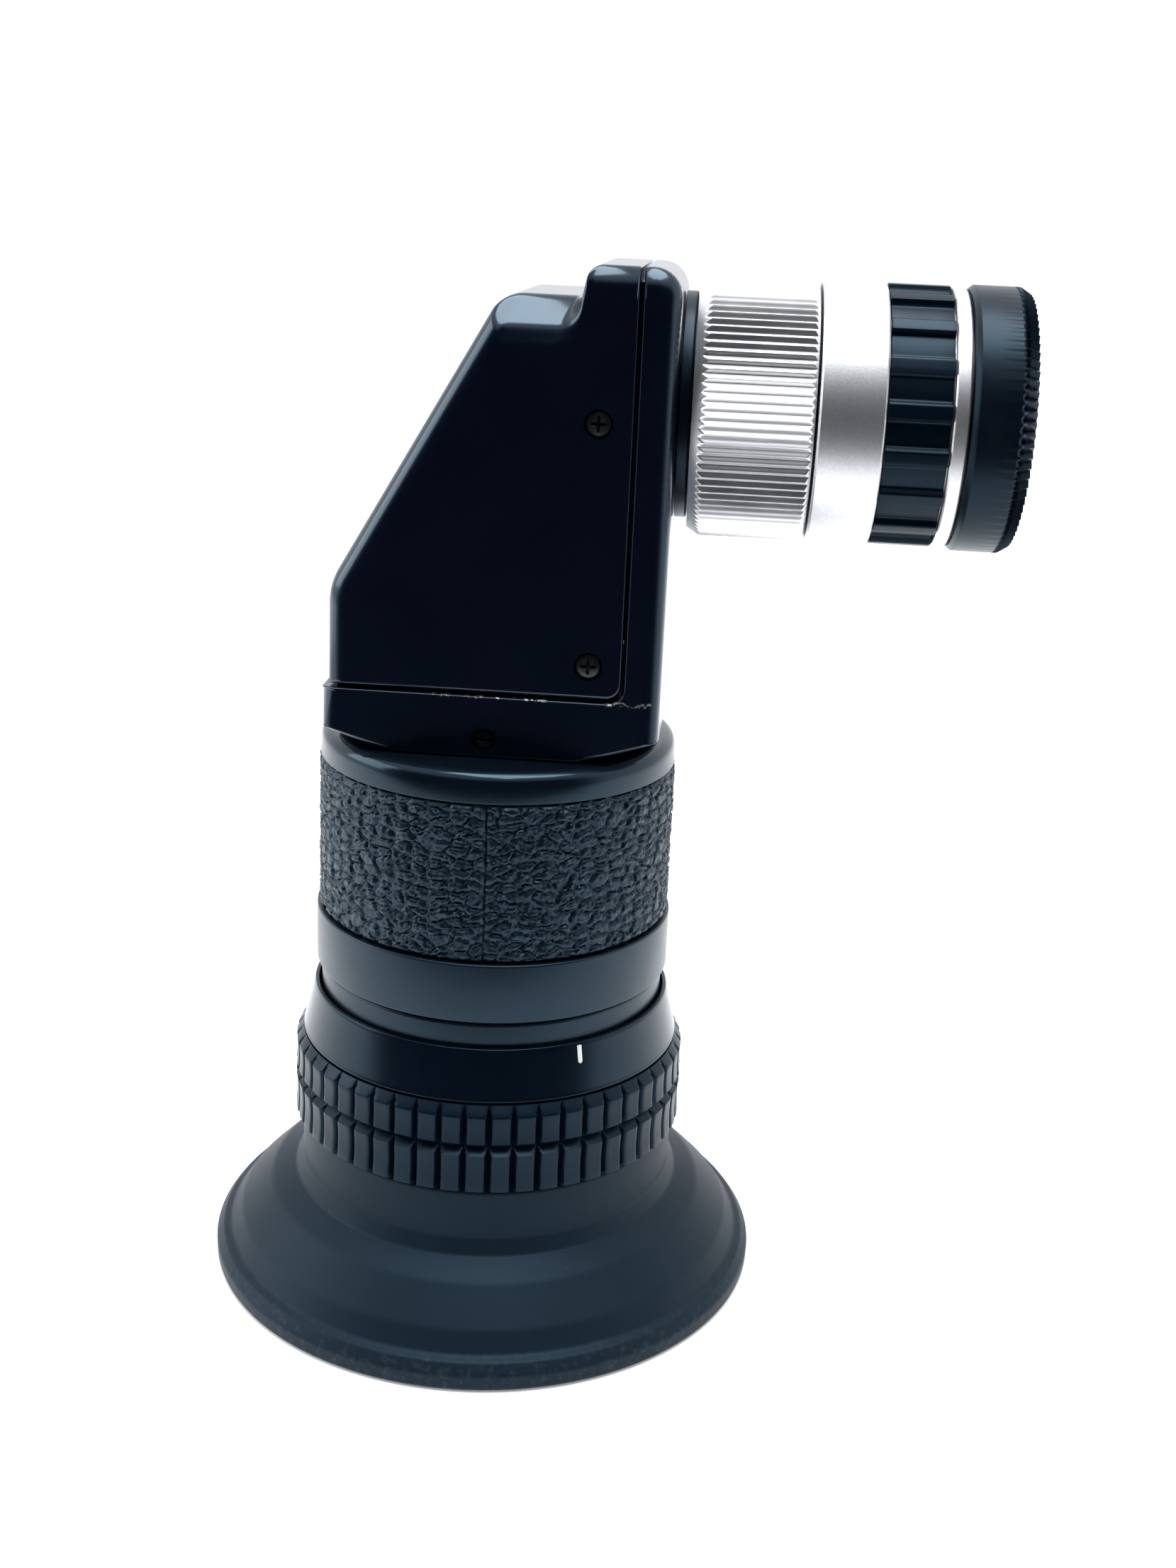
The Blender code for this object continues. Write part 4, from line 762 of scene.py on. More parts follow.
# %% Screws with their driver recess
def screw(name, spot, sign, radius, shank_r, shank_length, top, recess, depth, dome):
    """A screw along Y: rings of points go from the shank's end up the side and over the head to its centre.

    recess(x, z) gives how far a point of the plan is inside the driver's mark, in millimetres.
    """
    segments = 96
    angle = np.arange(segments) / segments * math.tau
    head = np.linspace(1, 0, 44) * (radius - 0.06)
    rows_r = np.concatenate([[0, shank_r, shank_r, radius, radius], head])
    drop = dome * (head / radius) ** 2
    rows_y = np.concatenate([[-shank_length, -shank_length, -0.75, -0.75, -dome - 0.07], -drop])
    r, a = np.meshgrid(rows_r, angle, indexing="ij")
    x, z = r * np.cos(a), r * np.sin(a)
    y = np.repeat(rows_y[:, None], segments, axis=1)
    inside = np.clip(recess(x, z) / 0.06, 0, 1)
    y[5:] -= depth * inside[5:]
    grid = np.stack([spot[0] + x, sign * (top + y), spot[2] + z], axis=-1)
    return grid_object(name, grid, sharp=35.0)


def cross_recess(x, z):
    """Inside a plus sign whose arms taper to points."""
    arm = np.maximum(np.abs(x), np.abs(z))
    width = np.minimum(np.abs(x), np.abs(z))
    return np.minimum(0.19 - 0.12 * arm - width, 0.72 - arm)


def slot_recess(x, z):
    """Inside a level slot right across."""
    return 0.17 - np.abs(z)


HEAD_SUNK, SET_SUNK = 0.12, 0.42
for node, (spot, sign) in screw_spots.items():
    if node.startswith("cover"):
        piece = screw(node + "_head", spot, sign, HEAD_R, 0.6, 3.8, HALF - HEAD_SUNK, cross_recess, 0.45, 0.2)
    else:
        piece = screw(node + "_head", spot, sign, 0.8, 0.78, 2.6, HALF - SET_SUNK, slot_recess, 0.4, 0.04)
    settle(piece, screw_black, "finder", "screw_steel", node)

# %% [markdown]
# ## Barrel
#
# The barrel is one turned tube: a rounded flange at the top, a shallow recess that the leatherette lies in,
# and a plain band below it. All of its corners get small roundings.

# %% Barrel tube and end ring
BAND_R = (barrel_high[0] - barrel_low[0]) / 2
wrap_low, wrap_high = span("leatherette_wrap")
ring_low, ring_high = span("barrel_end_ring")
lens_low = span("field_lens")[0]
WRAP_R = (wrap_high[0] - wrap_low[0]) / 2
SPIGOT_R, SPIGOT_BORE = 9.5, 8.0
BORE_R = 14.4
flange_top = BASE_Z - 0.1
band_low = ring_high[2] + 0.24
barrel_corners = [
    (SPIGOT_R, barrel_high[2], 0.2), (SPIGOT_R, flange_top, 0.1), (WRAP_R, flange_top, 1.5),
    (WRAP_R, wrap_high[2] + 0.12, 0.15), (WRAP_R - 0.7, wrap_high[2] + 0.12, 0),
    (WRAP_R - 0.7, wrap_low[2] - 0.12, 0),
    (BAND_R, wrap_low[2] - 0.12, 0.22), (BAND_R, band_low, 0.3), (BAND_R - 2.0, band_low, 0),
    (BAND_R - 2.0, barrel_low[2], 0.1), (BORE_R, barrel_low[2], 0.1), (BORE_R, flange_top - 3.6, 0),
    (SPIGOT_BORE - 0.9, flange_top - 3.6, 0.1), (SPIGOT_BORE - 0.9, lens_low[2] - 0.25, 0),
    (SPIGOT_BORE, lens_low[2] - 0.25, 0), (SPIGOT_BORE, barrel_high[2], 0.1),
]
settle(turned("barrel", barrel_corners, 256), anodised, "finder", "black_anodised", "barrel_tube")

RING_R = (ring_high[0] - ring_low[0]) / 2
ring_corners = [
    (RING_R, ring_high[2], 0.35), (RING_R, ring_low[2], 0.3), (BORE_R + 0.2, ring_low[2], 0.1),
    (BORE_R + 0.2, ring_low[2] + 1.7, 0), (BAND_R - 1.75, ring_low[2] + 1.7, 0),
    (BAND_R - 1.75, ring_high[2], 0),
]
settle(turned("end_ring", ring_corners, 256), anodised, "finder", "black_anodised", "barrel_end_ring")

# %% [markdown]
# The wrap's pebble is deep enough to change its outline, so it is real relief. Points are scattered with one
# in each cell of a stretched grid, and every spot on the sheet looks up its nearest and second nearest point.
# Where the two are equally far away runs a crease, and the pebble swells between the creases. Bending the
# lookup with slow waves makes the creases wander as they do in pressed vinyl.

# %% Leatherette sheet with real pebble
def hash_noise(i, j, seed):
    """A repeatable number from 0 to 1 for each pair of whole numbers."""
    value = np.sin(i * 127.1 + j * 311.7 + seed * 74.7) * 43758.5453
    return value - np.floor(value)


def pebble_distance(u, v):
    """Distance to the nearest and to the second nearest of the scattered points, in cells."""
    cell_u, cell_v = np.floor(u), np.floor(v)
    near = np.full(u.shape, 9.0)
    second = np.full(u.shape, 9.0)
    for du in (-1, 0, 1):
        for dv in (-1, 0, 1):
            i, j = cell_u + du, cell_v + dv
            x = i + 0.12 + 0.76 * hash_noise(i, j, 1.0)
            y = j + 0.12 + 0.76 * hash_noise(i, j, 2.0)
            away = np.hypot(u - x, v - y)
            second = np.minimum(second, np.maximum(near, away))
            near = np.minimum(near, away)
    return near, second


def soft_noise(u, v, seed):
    """Smooth noise from blended corner numbers."""
    i, j = np.floor(u), np.floor(v)
    s, t = u - i, v - j
    s, t = s * s * (3 - 2 * s), t * t * (3 - 2 * t)
    low = hash_noise(i, j, seed) * (1 - s) + hash_noise(i + 1, j, seed) * s
    high = hash_noise(i, j + 1, seed) * (1 - s) + hash_noise(i + 1, j + 1, seed) * s
    return low * (1 - t) + high * t


def pebble(u, v):
    """Relief from 0 in a crease to 1 on a pebble, for distances along and up the sheet in millimetres."""
    bent_u = u + 0.55 * (soft_noise(u * 0.9, v * 0.9, 5) - 0.5) + 0.3 * (soft_noise(u * 2.3, v * 2.3, 6) - 0.5)
    bent_v = v + 0.7 * (soft_noise(u * 0.7, v * 0.7, 7) - 0.5) + 0.3 * (soft_noise(u * 2.1, v * 2.1, 8) - 0.5)
    near, second = pebble_distance(bent_u / 1.9, bent_v / 1.0)
    crease = np.clip((second - near) / 0.34, 0, 1)
    crease = crease * crease * (3 - 2 * crease)
    small_near, small_second = pebble_distance(bent_u / 0.62 + 30, bent_v / 0.45)
    fine = np.clip((small_second - small_near) / 0.5, 0, 1)
    slope = 0.35 * (soft_noise(u * 0.8 + 9, v * 1.3, 9))
    return 0.62 * crease + 0.2 * fine + slope


SEAM_ANGLE = math.radians(273.5)
SEAM_GAP = math.radians(0.28)
DEPTH = 0.42
columns, rows = 860, 108
angle = np.linspace(SEAM_ANGLE + SEAM_GAP / 2, SEAM_ANGLE + math.tau - SEAM_GAP / 2, columns)
height = np.linspace(wrap_low[2], wrap_high[2], rows)
a, z = np.meshgrid(angle, height)
relief = pebble(a * WRAP_R, z)
edge = np.minimum(z - wrap_low[2], wrap_high[2] - z)
seam = np.minimum(a - angle[0], angle[-1] - a) * WRAP_R
tuck = np.clip(edge / 0.35, 0, 1) * np.clip(0.25 + seam / 0.6, 0, 1)
outer = WRAP_R - DEPTH + 0.08 + (DEPTH + 0.04) * relief * (0.15 + 0.85 * tuck)
inner = np.full(columns, WRAP_R - 0.62)
radius = np.vstack([inner[None], outer, inner[None]])
level = np.vstack([z[:1], z, z[-1:]])
a = np.vstack([a[:1], a, a[-1:]])
sheet = np.stack([AXIS_X + radius * np.cos(a), radius * np.sin(a), level], axis=-1)
faces = grid_faces(rows + 2, columns, True, False)
first = (np.arange(rows + 2) * columns).tolist()
faces.append(first)
faces.append([i + columns - 1 for i in reversed(first)])
wrap_piece = mesh_object("wrap_sheet", sheet.reshape(-1, 3), faces, sharp=60.0)
settle(wrap_piece, leatherette, "finder", "leatherette", "leatherette_wrap")

# %% [markdown]
# ## Dioptre ring
#
# The user turns this ring to focus. It is a cone with a thin rim that runs over the barrel's end ring, and
# below it a rubber grip with two rows of pads. The cone is turned, and its foot meets the grip in a small
# hollow. A short white mark is let into the cone below its rim.

# %% Dioptre cone and its index mark
cone_low, cone_high = span("dioptre_cone")
grip_low, grip_high = span("dioptre_grip")
CONE_RIM = 18.15
CONE_FOOT = (cone_high[0] - cone_low[0]) / 2
cone_bore = CONE_RIM - 0.4
sleeve = grip_high[2] + 0.25
GRIP_R = (grip_high[1] - grip_low[1]) / 2
sleeve_r = GRIP_R - 1.45
cone_corners = [
    (CONE_RIM, cone_high[2], 0.12), (CONE_RIM + 0.12, cone_high[2] - 0.35, 0.3),
    (CONE_FOOT, sleeve + 0.35, 0.5),
    (CONE_FOOT + 0.12, sleeve, 0.1), (sleeve_r, sleeve, 0), (sleeve_r, cone_low[2], 0.1),
    (15.68, cone_low[2], 0.1), (15.68, cone_low[2] + 2.9, 0.1), (cone_bore - 0.4, cone_low[2] + 2.9, 0),
    (cone_bore, cone_low[2] + 3.4, 0), (cone_bore, cone_high[2], 0.12),
]
settle(turned("cone", cone_corners, 256), ring_black, "dioptre_ring", "black_anodised", "dioptre_cone")

MARK_ANGLE = math.radians(304.5)
MARK_LENGTH, MARK_WIDTH, MARK_PROUD = 1.72, 0.46, 0.06
u, v = np.meshgrid(np.linspace(-1, 1, 17), np.linspace(0, 1, 41))
half_width = MARK_WIDTH / 2 * np.sqrt(np.clip(1 - np.clip((v - 0.86) / 0.14, 0, 1) ** 2, 0.02, 1))
across = u * half_width
down = v * MARK_LENGTH
slope = (CONE_FOOT - CONE_RIM - 0.12) / (cone_high[2] - sleeve - 0.7)
skin = CONE_RIM + 0.1 + slope * down
crown = MARK_PROUD * (1 - 0.5 * u ** 2)
top = np.stack([skin + crown, across, cone_high[2] - 0.28 - down], axis=-1)
bottom = np.stack([skin - 0.14, across, cone_high[2] - 0.28 - down], axis=-1)


def turned_to(points, angle):
    """Points given along +X from the barrel's axis, turned to an angle round it."""
    x, y = points[..., 0], points[..., 1]
    c, s = math.cos(angle), math.sin(angle)
    return np.stack([AXIS_X + x * c - y * s, x * s + y * c, points[..., 2]], axis=-1)


def closed_slab(name, top, bottom, sharp=40.0):
    """Two grids of one shape, joined round their border."""
    rows, columns = top.shape[:2]
    count = rows * columns
    faces = grid_faces(rows, columns, False, False)
    faces += [face[::-1] for face in grid_faces(rows, columns, False, False, start=count)]
    index = np.arange(count).reshape(rows, columns)
    border = np.concatenate([index[0, :-1], index[:-1, -1], index[-1, :0:-1], index[:0:-1, 0]])
    after = np.roll(border, -1)
    faces += np.stack([after, border, border + count, after + count], axis=1).tolist()
    points = np.concatenate([top.reshape(-1, 3), bottom.reshape(-1, 3)])
    return mesh_object(name, points, faces, sharp)


mark = closed_slab("index_line", turned_to(top, MARK_ANGLE), turned_to(bottom, MARK_ANGLE))
settle(mark, white_fill, "dioptre_ring", "white_fill", "index_mark")

# %% [markdown]
# The grip's pads stand in two rows with a shallow V between the rows. Round the ring, the radius falls
# steeply into a narrow groove between pads. Along the axis, each pad is a little hollow between raised ends,
# and its ends slope. The outline is the smaller of the two falls, so the corners of a pad are crisp.

# %% Rubber grip with two rows of pads
PADS = 52
PAD_DEPTH, HOLLOW = 0.8, 0.1
grip_middle = (grip_low[2] + grip_high[2]) / 2 + 0.1
grip_steps = 20
z_levels = np.unique(np.concatenate([
    np.linspace(grip_low[2], grip_low[2] + 0.5, 5), np.linspace(grip_low[2] + 0.5, grip_middle - 0.75, 7),
    np.linspace(grip_middle - 0.75, grip_middle + 0.75, 13),
    np.linspace(grip_middle + 0.75, grip_high[2] - 1.1, 7),
    np.linspace(grip_high[2] - 1.1, grip_high[2], 9)]))
angle = np.arange(PADS * grip_steps) / (PADS * grip_steps) * math.tau
a, z = np.meshgrid(angle, z_levels)
share = np.abs(((a * PADS / math.tau) % 1.0) - 0.5) * 2
groove = np.clip((0.95 - share) / 0.2, 0, 1)
shoulder = 0.05 * np.clip((share - 0.5) / 0.25, 0, 1)
from_low, from_high = z - grip_low[2], grip_high[2] - z
to_middle = np.abs(z - grip_middle)
row_length = (grip_high[2] - grip_low[2]) / 2
ends = np.minimum(np.minimum(0.72 + from_low / 0.35, from_high), to_middle / 0.62)
ends = np.clip(ends, 0, 1)
center_of_row = np.where(z < grip_middle, (grip_low[2] + grip_middle) / 2, (grip_high[2] + grip_middle) / 2)
scoop = HOLLOW * (1 - np.clip(np.abs(z - center_of_row) / (row_length * 0.36), 0, 1) ** 2) * (1 - share ** 4)
radius = GRIP_R - PAD_DEPTH + (PAD_DEPTH - shoulder) * np.minimum(groove, ends) - scoop * groove
inner = np.full((1, len(angle)), sleeve_r + 0.25)
radius = np.vstack([inner, radius, inner])
z = np.vstack([z[:1], z, z[-1:]])
a = np.vstack([a[:1], a, a[-1:]])
grid = np.stack([AXIS_X + radius * np.cos(a), radius * np.sin(a), z], axis=-1)
grip_piece = grid_object("pad_grip", grid, close_rows=True, sharp=32.0)
settle(grip_piece, grip_rubber, "dioptre_ring", "rubber", "dioptre_grip")

# %% [markdown]
# ## Eyecup
#
# The eyecup is one soft moulding: a straight neck, a fold, a wide bowl that swells like a bell, and a bead
# along its rim. Its outline is drawn with generous roundings and spun. The wall is thin, and the inside
# follows the outside down to the rim.

# %% Eyecup
CUP_R = (cup_high[0] - cup_low[0]) / 2
NECK_R = 19.4
cup_top = cup_high[2]
cup_corners = [
    (NECK_R, cup_top, 0.5), (NECK_R, 10.9, 1.2), (NECK_R + 0.75, 9.4, 0.8), (NECK_R + 3.2, 8.1, 3.0),
    (NECK_R + 6.4, 4.9, 3.0), (NECK_R + 7.6, 3.05, 0.9), (NECK_R + 8.35, 2.75, 0.7), (CUP_R, 1.75, 0.8),
    (CUP_R - 0.05, 0.35, 0.4), (CUP_R - 0.5, 0.0, 0.25), (CUP_R - 1.6, 0.0, 0.3), (CUP_R - 3.4, 2.6, 2.0),
    (NECK_R + 2.4, 6.6, 3.0), (NECK_R - 1.9, 8.9, 1.5), (NECK_R - 2.3, 11.3, 0.5), (16.1, 11.3, 0.3),
    (16.1, 12.75, 0.1), (NECK_R - 1.15, 12.75, 0), (NECK_R - 1.15, cup_top, 0.2),
]
cup_piece = turned("eyecup_moulding", cup_corners, 256, steps=9, sharp=70.0)
settle(cup_piece, cup_rubber, "eyepiece", "eyecup_rubber",
       "eyecup")

# %% [markdown]
# Looking up into the cup, the eyepiece tube's end, the clamp ring and the first lens show. The lens is a disc
# whose two faces are bulges, each a height that falls with the square of the distance from the axis.

# %% Eyepiece tube end, clamp ring and lenses
def lens(name, node, bulge_low, bulge_high, axis="Z", segments=128):
    """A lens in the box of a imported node: both faces bulge by the given heights within that box."""
    low, high = span(node)
    radius = (high[1] - low[1]) / 2
    if axis == "Z":
        start, end = low[2], high[2]
    else:
        start, end = low[0] - AXIS_X, high[0] - AXIS_X
    r = np.linspace(0, 1, 24) * radius
    fall = (r / radius) ** 2
    first = start + (bulge_low * fall if bulge_low > 0 else -bulge_low * (1 - fall))
    last = end - (bulge_high * fall if bulge_high > 0 else -bulge_high * (1 - fall))
    outline = np.concatenate([np.stack([r, first], 1), np.stack([r[::-1], last[::-1]], 1)])
    return grid_object(name, spin(outline, segments, axis), close_rows=False)


LENSES = [
    ("eye_glass", "eye_lens", 0.0, 2.4, "Z", eye_glass, "eyepiece"),
    ("doublet_glass", "doublet_lens", -1.0, 1.6, "Z", eye_glass, "eyepiece"),
    ("field_glass", "field_lens", 0.0, 0.5, "Z", eye_glass, "finder"),
    ("relay_inner_glass", "relay_lens_inner", 0.6, 0.0, "X", front_glass, "relay"),
    ("relay_outer_glass", "relay_lens_outer", 0.0, 0.6, "X", front_glass, "relay"),
    ("front_glass", "front_lens", 0.0, 0.7, "X", front_glass, "mount_tube"),
]
for name, node, low_bulge, high_bulge, axis, glass, body in LENSES:
    settle(lens(name, node, low_bulge, high_bulge, axis), glass, body, "lens_glass", node)

# %% [markdown]
# ## Camera-side tube
#
# The magnification ring is knurled with straight V teeth. The radius goes up and down once for each tooth,
# and both ends of the ring are cut off by a cone. Taking the smaller of tooth and cone gives the row of
# little points where the teeth run out, with no extra modelling.

# %% Knurled magnification ring
TEETH = 92
TOOTH = 0.3
knurl_low, knurl_high = span("magnification_ring")
KNURL_R = (knurl_high[1] - knurl_low[1]) / 2
x0, x1 = knurl_low[0] - AXIS_X, knurl_high[0] - AXIS_X
bore = 9.88


def knurl(radius, along, angle):
    """V teeth on the outer skin, cut off by a cone at each end."""
    phase = (angle * TEETH / math.tau) % 1.0
    tooth = KNURL_R - TOOTH * np.clip(np.abs(phase - 0.5) * 2.3 - 0.08, 0, 1)
    left = KNURL_R - 0.72 + (along - x0) * 0.62
    right = KNURL_R - 0.42 + (x1 - along) * 1.0
    skin = np.minimum(np.minimum(tooth, left), right)
    return np.where(radius > KNURL_R - 1.0, skin, radius)


along = np.concatenate([np.linspace(x0, x0 + 1.35, 14), np.linspace(x0 + 1.35, x1 - 0.55, 5)[1:],
                        np.linspace(x1 - 0.55, x1, 7)[1:]])
outline = np.concatenate([np.stack([np.full(len(along), KNURL_R), along], 1), [(bore, x1), (bore, x0)]])
ring_piece = grid_object("knurled_ring", spin(outline, TEETH * 8, "X", knurl), close_rows=True, sharp=28.0)
settle(ring_piece, knurl_metal, "magnification_ring", "bright_aluminium", "magnification_ring")

# %% [markdown]
# Between the wall and the knurled ring a black neck shows, and behind the ring comes the frosted sleeve of
# the mount tube. The sleeve's corners are polished, so they are given small flat bevels that flash.

# %% Neck tube and mount tube
neck_low, neck_high = span("neck_tube")
mount_low, mount_high = span("mount_tube")
rib_low, rib_high = span("rib_grip")
nut_low, nut_high = span("coupling_nut")
front_low = span("front_lens")[0]
tube = lambda value: value - AXIS_X
neck_corners = [
    (7.2, tube(neck_low[0]), 0.1), (7.2, tube(neck_high[0]), 0.1), (9.0, tube(neck_high[0]), 0.1),
    (9.0, x1 + 0.1, 0), (9.8, x1 + 0.1, 0.1), (9.8, x0 - 0.12, 0), (10.5, x0 - 0.12, 0.2),
    (10.5, WALL_X + 0.1, 0.1), (8.4, WALL_X + 0.1, 0), (8.4, tube(neck_low[0]), 0.1),
]
settle(turned("neck", neck_corners, 128, "X"), satin_black, "finder", "black_anodised", "neck_tube")

SLEEVE_R = (mount_high[1] - mount_low[1]) / 2
m0, m1 = tube(mount_low[0]), tube(mount_high[0])
r0, r1 = tube(rib_low[0]) - 0.12, tube(rib_high[0]) + 0.07
lip_end = tube(nut_low[0]) - 0.25
LIP_R = 11.95
glass_start = tube(front_low[0]) - 0.25
mount_corners = [
    (9.08, m0, 0.1), (9.08, r1 - 3.1, 0), (10.1, r1 - 3.1, 0), (10.1, glass_start - 0.7, 0),
    (7.2, glass_start - 0.7, 0), (7.2, glass_start, 0), (8.2, glass_start, 0), (8.2, m1, 0.1), (9.5, m1, 0.1),
    (9.5, lip_end, 0), (LIP_R - 0.16, lip_end, 0.03), (LIP_R, lip_end - 0.16, 0.03), (LIP_R, r1 + 0.2, 0.03),
    (LIP_R - 0.12, r1 + 0.05, 0.03), (10.95, r1 + 0.05, 0), (10.95, r0, 0), (SLEEVE_R - 0.14, r0, 0.03),
    (SLEEVE_R, r0 - 0.16, 0.03), (SLEEVE_R, m0 + 0.2, 0.03), (SLEEVE_R - 0.18, m0, 0.03),
]
settle(turned("sleeve", mount_corners, 256, "X", steps=4), frosted, "mount_tube", "satin_chrome", "mount_tube")

# %% [markdown]
# The ribbed grip has narrow ribs with a broad, shallow flute between each pair. Round the grip the radius is
# flat on a rib and dips into the flute along a short slope on each side. The ends of the ribs are left square, so
# the grip's edge looks wavy from the side.

# %% Ribbed grip
RIBS = 18
RIB_START = math.radians(12)
RIB_R = (rib_high[1] - rib_low[1]) / 2
RIB_DROP = 0.62


def ribs(radius, along, angle):
    """Narrow flat-topped ribs and broad flutes, on the outer skin only."""
    phase = np.abs((((angle - RIB_START) * RIBS / math.tau + 0.5) % 1.0) - 0.5) * 2
    fall = np.clip((phase - 0.28) / 0.2, 0, 1)
    dip = RIB_DROP * fall * fall * (3 - 2 * fall)
    return np.where(radius > RIB_R - 0.5, radius - dip, radius)


rib_corners = [(RIB_R, tube(rib_low[0]), 0.12), (RIB_R, tube(rib_high[0]), 0.12), (11.05, tube(rib_high[0]), 0),
               (11.05, tube(rib_low[0]), 0)]
rib_grid = spin(finer(rounded(rib_corners, 4), 1.5), RIBS * 28, "X", ribs)
rib_piece = grid_object("rib_sleeve", rib_grid, close_rows=True, sharp=50.0)
settle(rib_piece, grip_rubber, "mount_tube", "rubber", "rib_grip")

# %% [markdown]
# The coupling nut is a plain black collar whose outer corner is cut with small V notches for the fingers. As
# with the knurl, a cone with notches is laid over the cylinder and the smaller of the two is kept, which
# leaves a saw-toothed line round the collar.

# %% Coupling nut
NOTCHES = 78
NUT_R = (nut_high[1] - nut_low[1]) / 2
n0, n1 = tube(nut_low[0]), tube(nut_high[0])
NUT_BORE = NUT_R - 1.7


def notched(radius, along, angle):
    """A notched cone over the collar's outer end, and a plain small cone over its inner end."""
    phase = np.abs(((angle * NOTCHES / math.tau) % 1.0) - 0.5) * 2
    cone = NUT_R + 0.02 - np.maximum(along - (n1 - 0.95), 0) * 0.62
    notch = cone - 0.5 * (1 - phase) * np.clip((along - (n1 - 1.5)) / 0.3, 0, 1)
    near = NUT_R - 0.42 + (along - n0) * 0.9
    return np.where(radius > NUT_R - 0.9, np.minimum(np.minimum(radius, notch), near), radius)


along = np.concatenate([np.linspace(n0, n0 + 0.5, 5), [n0 + 2.0], np.linspace(n1 - 1.5, n1, 18)])
outline = np.concatenate([np.stack([np.full(len(along), NUT_R), along], 1),
                          rounded([(NUT_R - 1.0, n1, 0.05), (NUT_BORE, n1, 0.2), (NUT_BORE, n0 + 1.2, 0.1),
                                   (9.58, n0 + 1.2, 0.05), (9.58, n0, 0.05), (NUT_R - 1.0, n0, 0.05)])])
NUT_STEPS = 8
nut_grid = spin(outline, NOTCHES * NUT_STEPS, "X", notched)
nut_piece = grid_object("notched_collar", nut_grid, close_rows=True, sharp=30.0)
settle(nut_piece, satin_black, "coupling_nut", "black_anodised", "coupling_nut")

# %% [markdown]
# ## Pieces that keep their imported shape
#
# Plain rings, pins and the prism parts already have the right shape. They only need a finish. Their meshes
# stay untouched, and the new material goes into their material slots.

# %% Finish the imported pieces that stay
KEPT = {
    "eyepiece_tube": anodised, "eyecup_clamp_ring": anodised, "lens_retaining_ring": satin_black,
    "lens_spacer": satin_black, "guide_pin": brass, "field_lens_ring": satin_black, "snap_ring": steel,
    "roof_prism": prism_glass, "prism_bracket": plate, "prism_spring": steel,
    "bracket_screw_front": screw_black, "bracket_screw_back": screw_black, "relay_cell": satin_black,
    "relay_lens_ring": satin_black, "cam_pin": brass,
    "front_lens_ring": satin_black, "nut_retainer": steel,
}
for node, finish in KEPT.items():
    for slot_of_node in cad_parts[node].material_slots:
        slot_of_node.material = finish.material
print("kept pieces:", len(KEPT))

# %% [markdown]
# ## Studio
#
# The object stands on white paper under soft light. The room in front of it is dark, which keeps the black
# front faces deep, and the paper behind and beside it is bright, which draws a pale line along every rounded
# edge. The world gives that large, soft surround: bright overhead, behind and at the sides, dark in front.
# What the camera sees directly is a plain pale backdrop. The paper ends a little in front of the object, so
# that the front faces don't mirror it, and it glows faintly to blend with the backdrop.

# %% Floor, light and surround
PAPER_SIDE, PAPER_FRONT, PAPER_BACK = 1.6, -0.115, 2.4
paper_mesh = bpy.data.meshes.new("paper_floor")
corners = [(-PAPER_SIDE, PAPER_FRONT, 0), (PAPER_SIDE, PAPER_FRONT, 0), (PAPER_SIDE, PAPER_BACK, 0),
           (-PAPER_SIDE, PAPER_BACK, 0)]
paper_mesh.from_pydata(corners, [], [(0, 1, 2, 3)])
floor = bpy.data.objects.new("paper_floor", paper_mesh)
bpy.context.collection.objects.link(floor)
paper = Finish("white_paper", (0.93, 0.935, 0.94), 0.8)
paper.tint(paper.mottle(4.0), (0.94, 0.945, 0.95))
paper.shader.inputs["Emission Color"].default_value = (1, 1, 1, 1)
PAPER_GLOW = 0.2
paper.shader.inputs["Emission Strength"].default_value = PAPER_GLOW
floor.data.materials.append(paper.material)

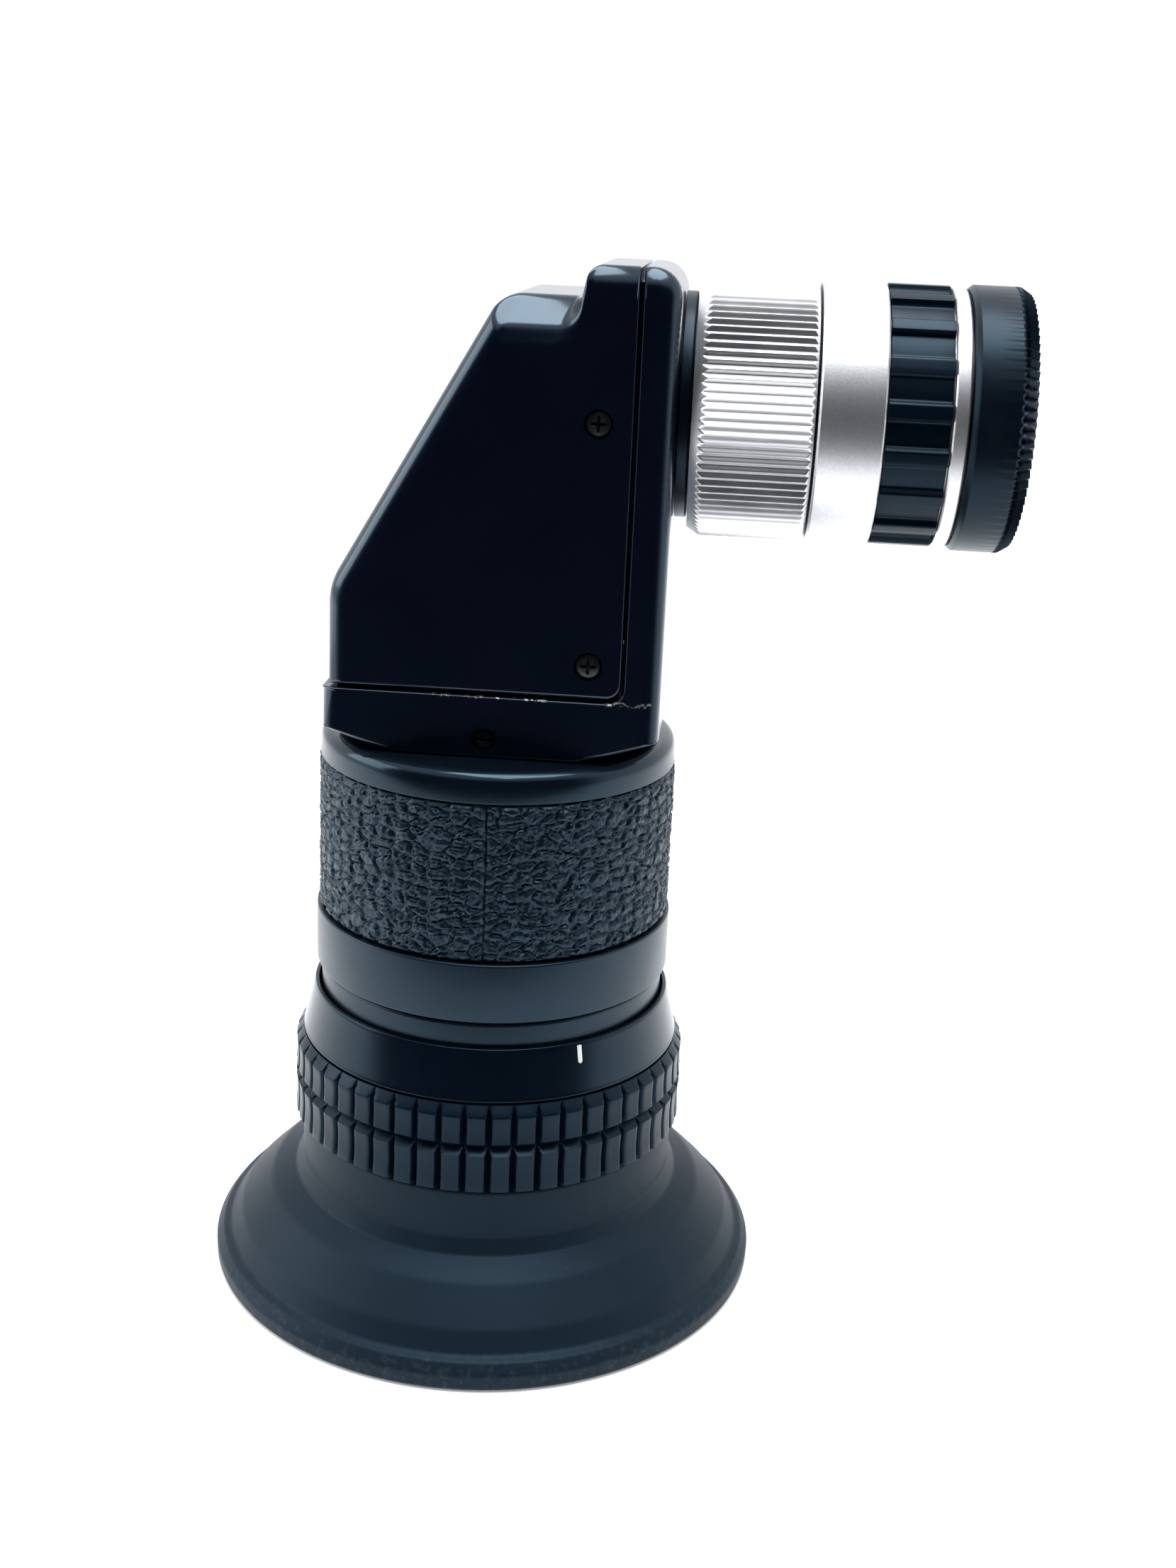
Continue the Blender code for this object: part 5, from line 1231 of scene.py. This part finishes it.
BRIGHT_ROOM, DARK_ROOM, ROOM_POWER = (0.93, 0.96, 1.0, 1), (0.006, 0.009, 0.013, 1), 1.25
world = bpy.data.worlds.new("soft_room")
bpy.context.scene.world = world
world.use_nodes = True
room = world.node_tree
room.nodes.clear()
direction = room.nodes.new("ShaderNodeTexCoord").outputs["Generated"]
split = room.nodes.new("ShaderNodeSeparateXYZ")
room.links.new(direction, split.inputs[0])
to_front = mapped(room, split.outputs[1], -0.1, -0.6)
low_sky = mapped(room, split.outputs[2], 0.85, 0.5)
dark = math_node(room, "MULTIPLY", to_front, low_sky)
around = add(room, "ShaderNodeMix", data_type="RGBA")
around.inputs[6].default_value = BRIGHT_ROOM
around.inputs[7].default_value = DARK_ROOM
room.links.new(dark, around.inputs[0])
light = room.nodes.new("ShaderNodeBackground")
light.inputs["Strength"].default_value = ROOM_POWER
room.links.new(around.outputs[2], light.inputs["Color"])
backdrop = room.nodes.new("ShaderNodeBackground")
backdrop.inputs["Color"].default_value = (1, 1, 1, 1)
backdrop.inputs["Strength"].default_value = 1.0
choose = room.nodes.new("ShaderNodeMixShader")
room.links.new(room.nodes.new("ShaderNodeLightPath").outputs["Is Camera Ray"], choose.inputs[0])
room.links.new(light.outputs[0], choose.inputs[1])
room.links.new(backdrop.outputs[0], choose.inputs[2])
room.links.new(choose.outputs[0], room.nodes.new("ShaderNodeOutputWorld").inputs[0])


def area_light(name, place, target, size, power):
    """A square soft light that faces a point."""
    lamp = bpy.data.lights.new(name, "AREA")
    lamp.size = size
    lamp.energy = power
    made = bpy.data.objects.new(name, lamp)
    bpy.context.collection.objects.link(made)
    made.location = place
    made.rotation_euler = (Vector(target) - Vector(place)).to_track_quat("-Z", "Y").to_euler()
    return made


area_light("overhead_softbox", (0.05, -0.04, 0.8), (0, 0, 0.05), 0.5, 6.5)
area_light("left_softbox", (-0.7, -0.05, 0.35), (0, 0, 0.06), 0.45, 2.0)

# %% [markdown]
# The camera stands a little above and to the right of the object, about 170 mm in front of it, and looks
# slightly down. Its lens and small shift come from the same measurement as its place.

# %% Camera
camera_data = bpy.data.cameras.new("camera")
camera = bpy.data.objects.new("camera", camera_data)
bpy.context.collection.objects.link(camera)
camera.location = ((AXIS_X + 19.72) * MM, -173.15 * MM, 107.38 * MM)
camera.rotation_euler = [math.radians(angle) for angle in (73.393, -2.559, 4.045)]
camera_data.sensor_width = 36
camera_data.lens = 41.52
camera_data.shift_x = -0.0053
camera_data.shift_y = -0.0241
camera_data.clip_start = 0.005
bpy.context.scene.camera = camera
bpy.context.scene.view_settings.view_transform = "Standard"
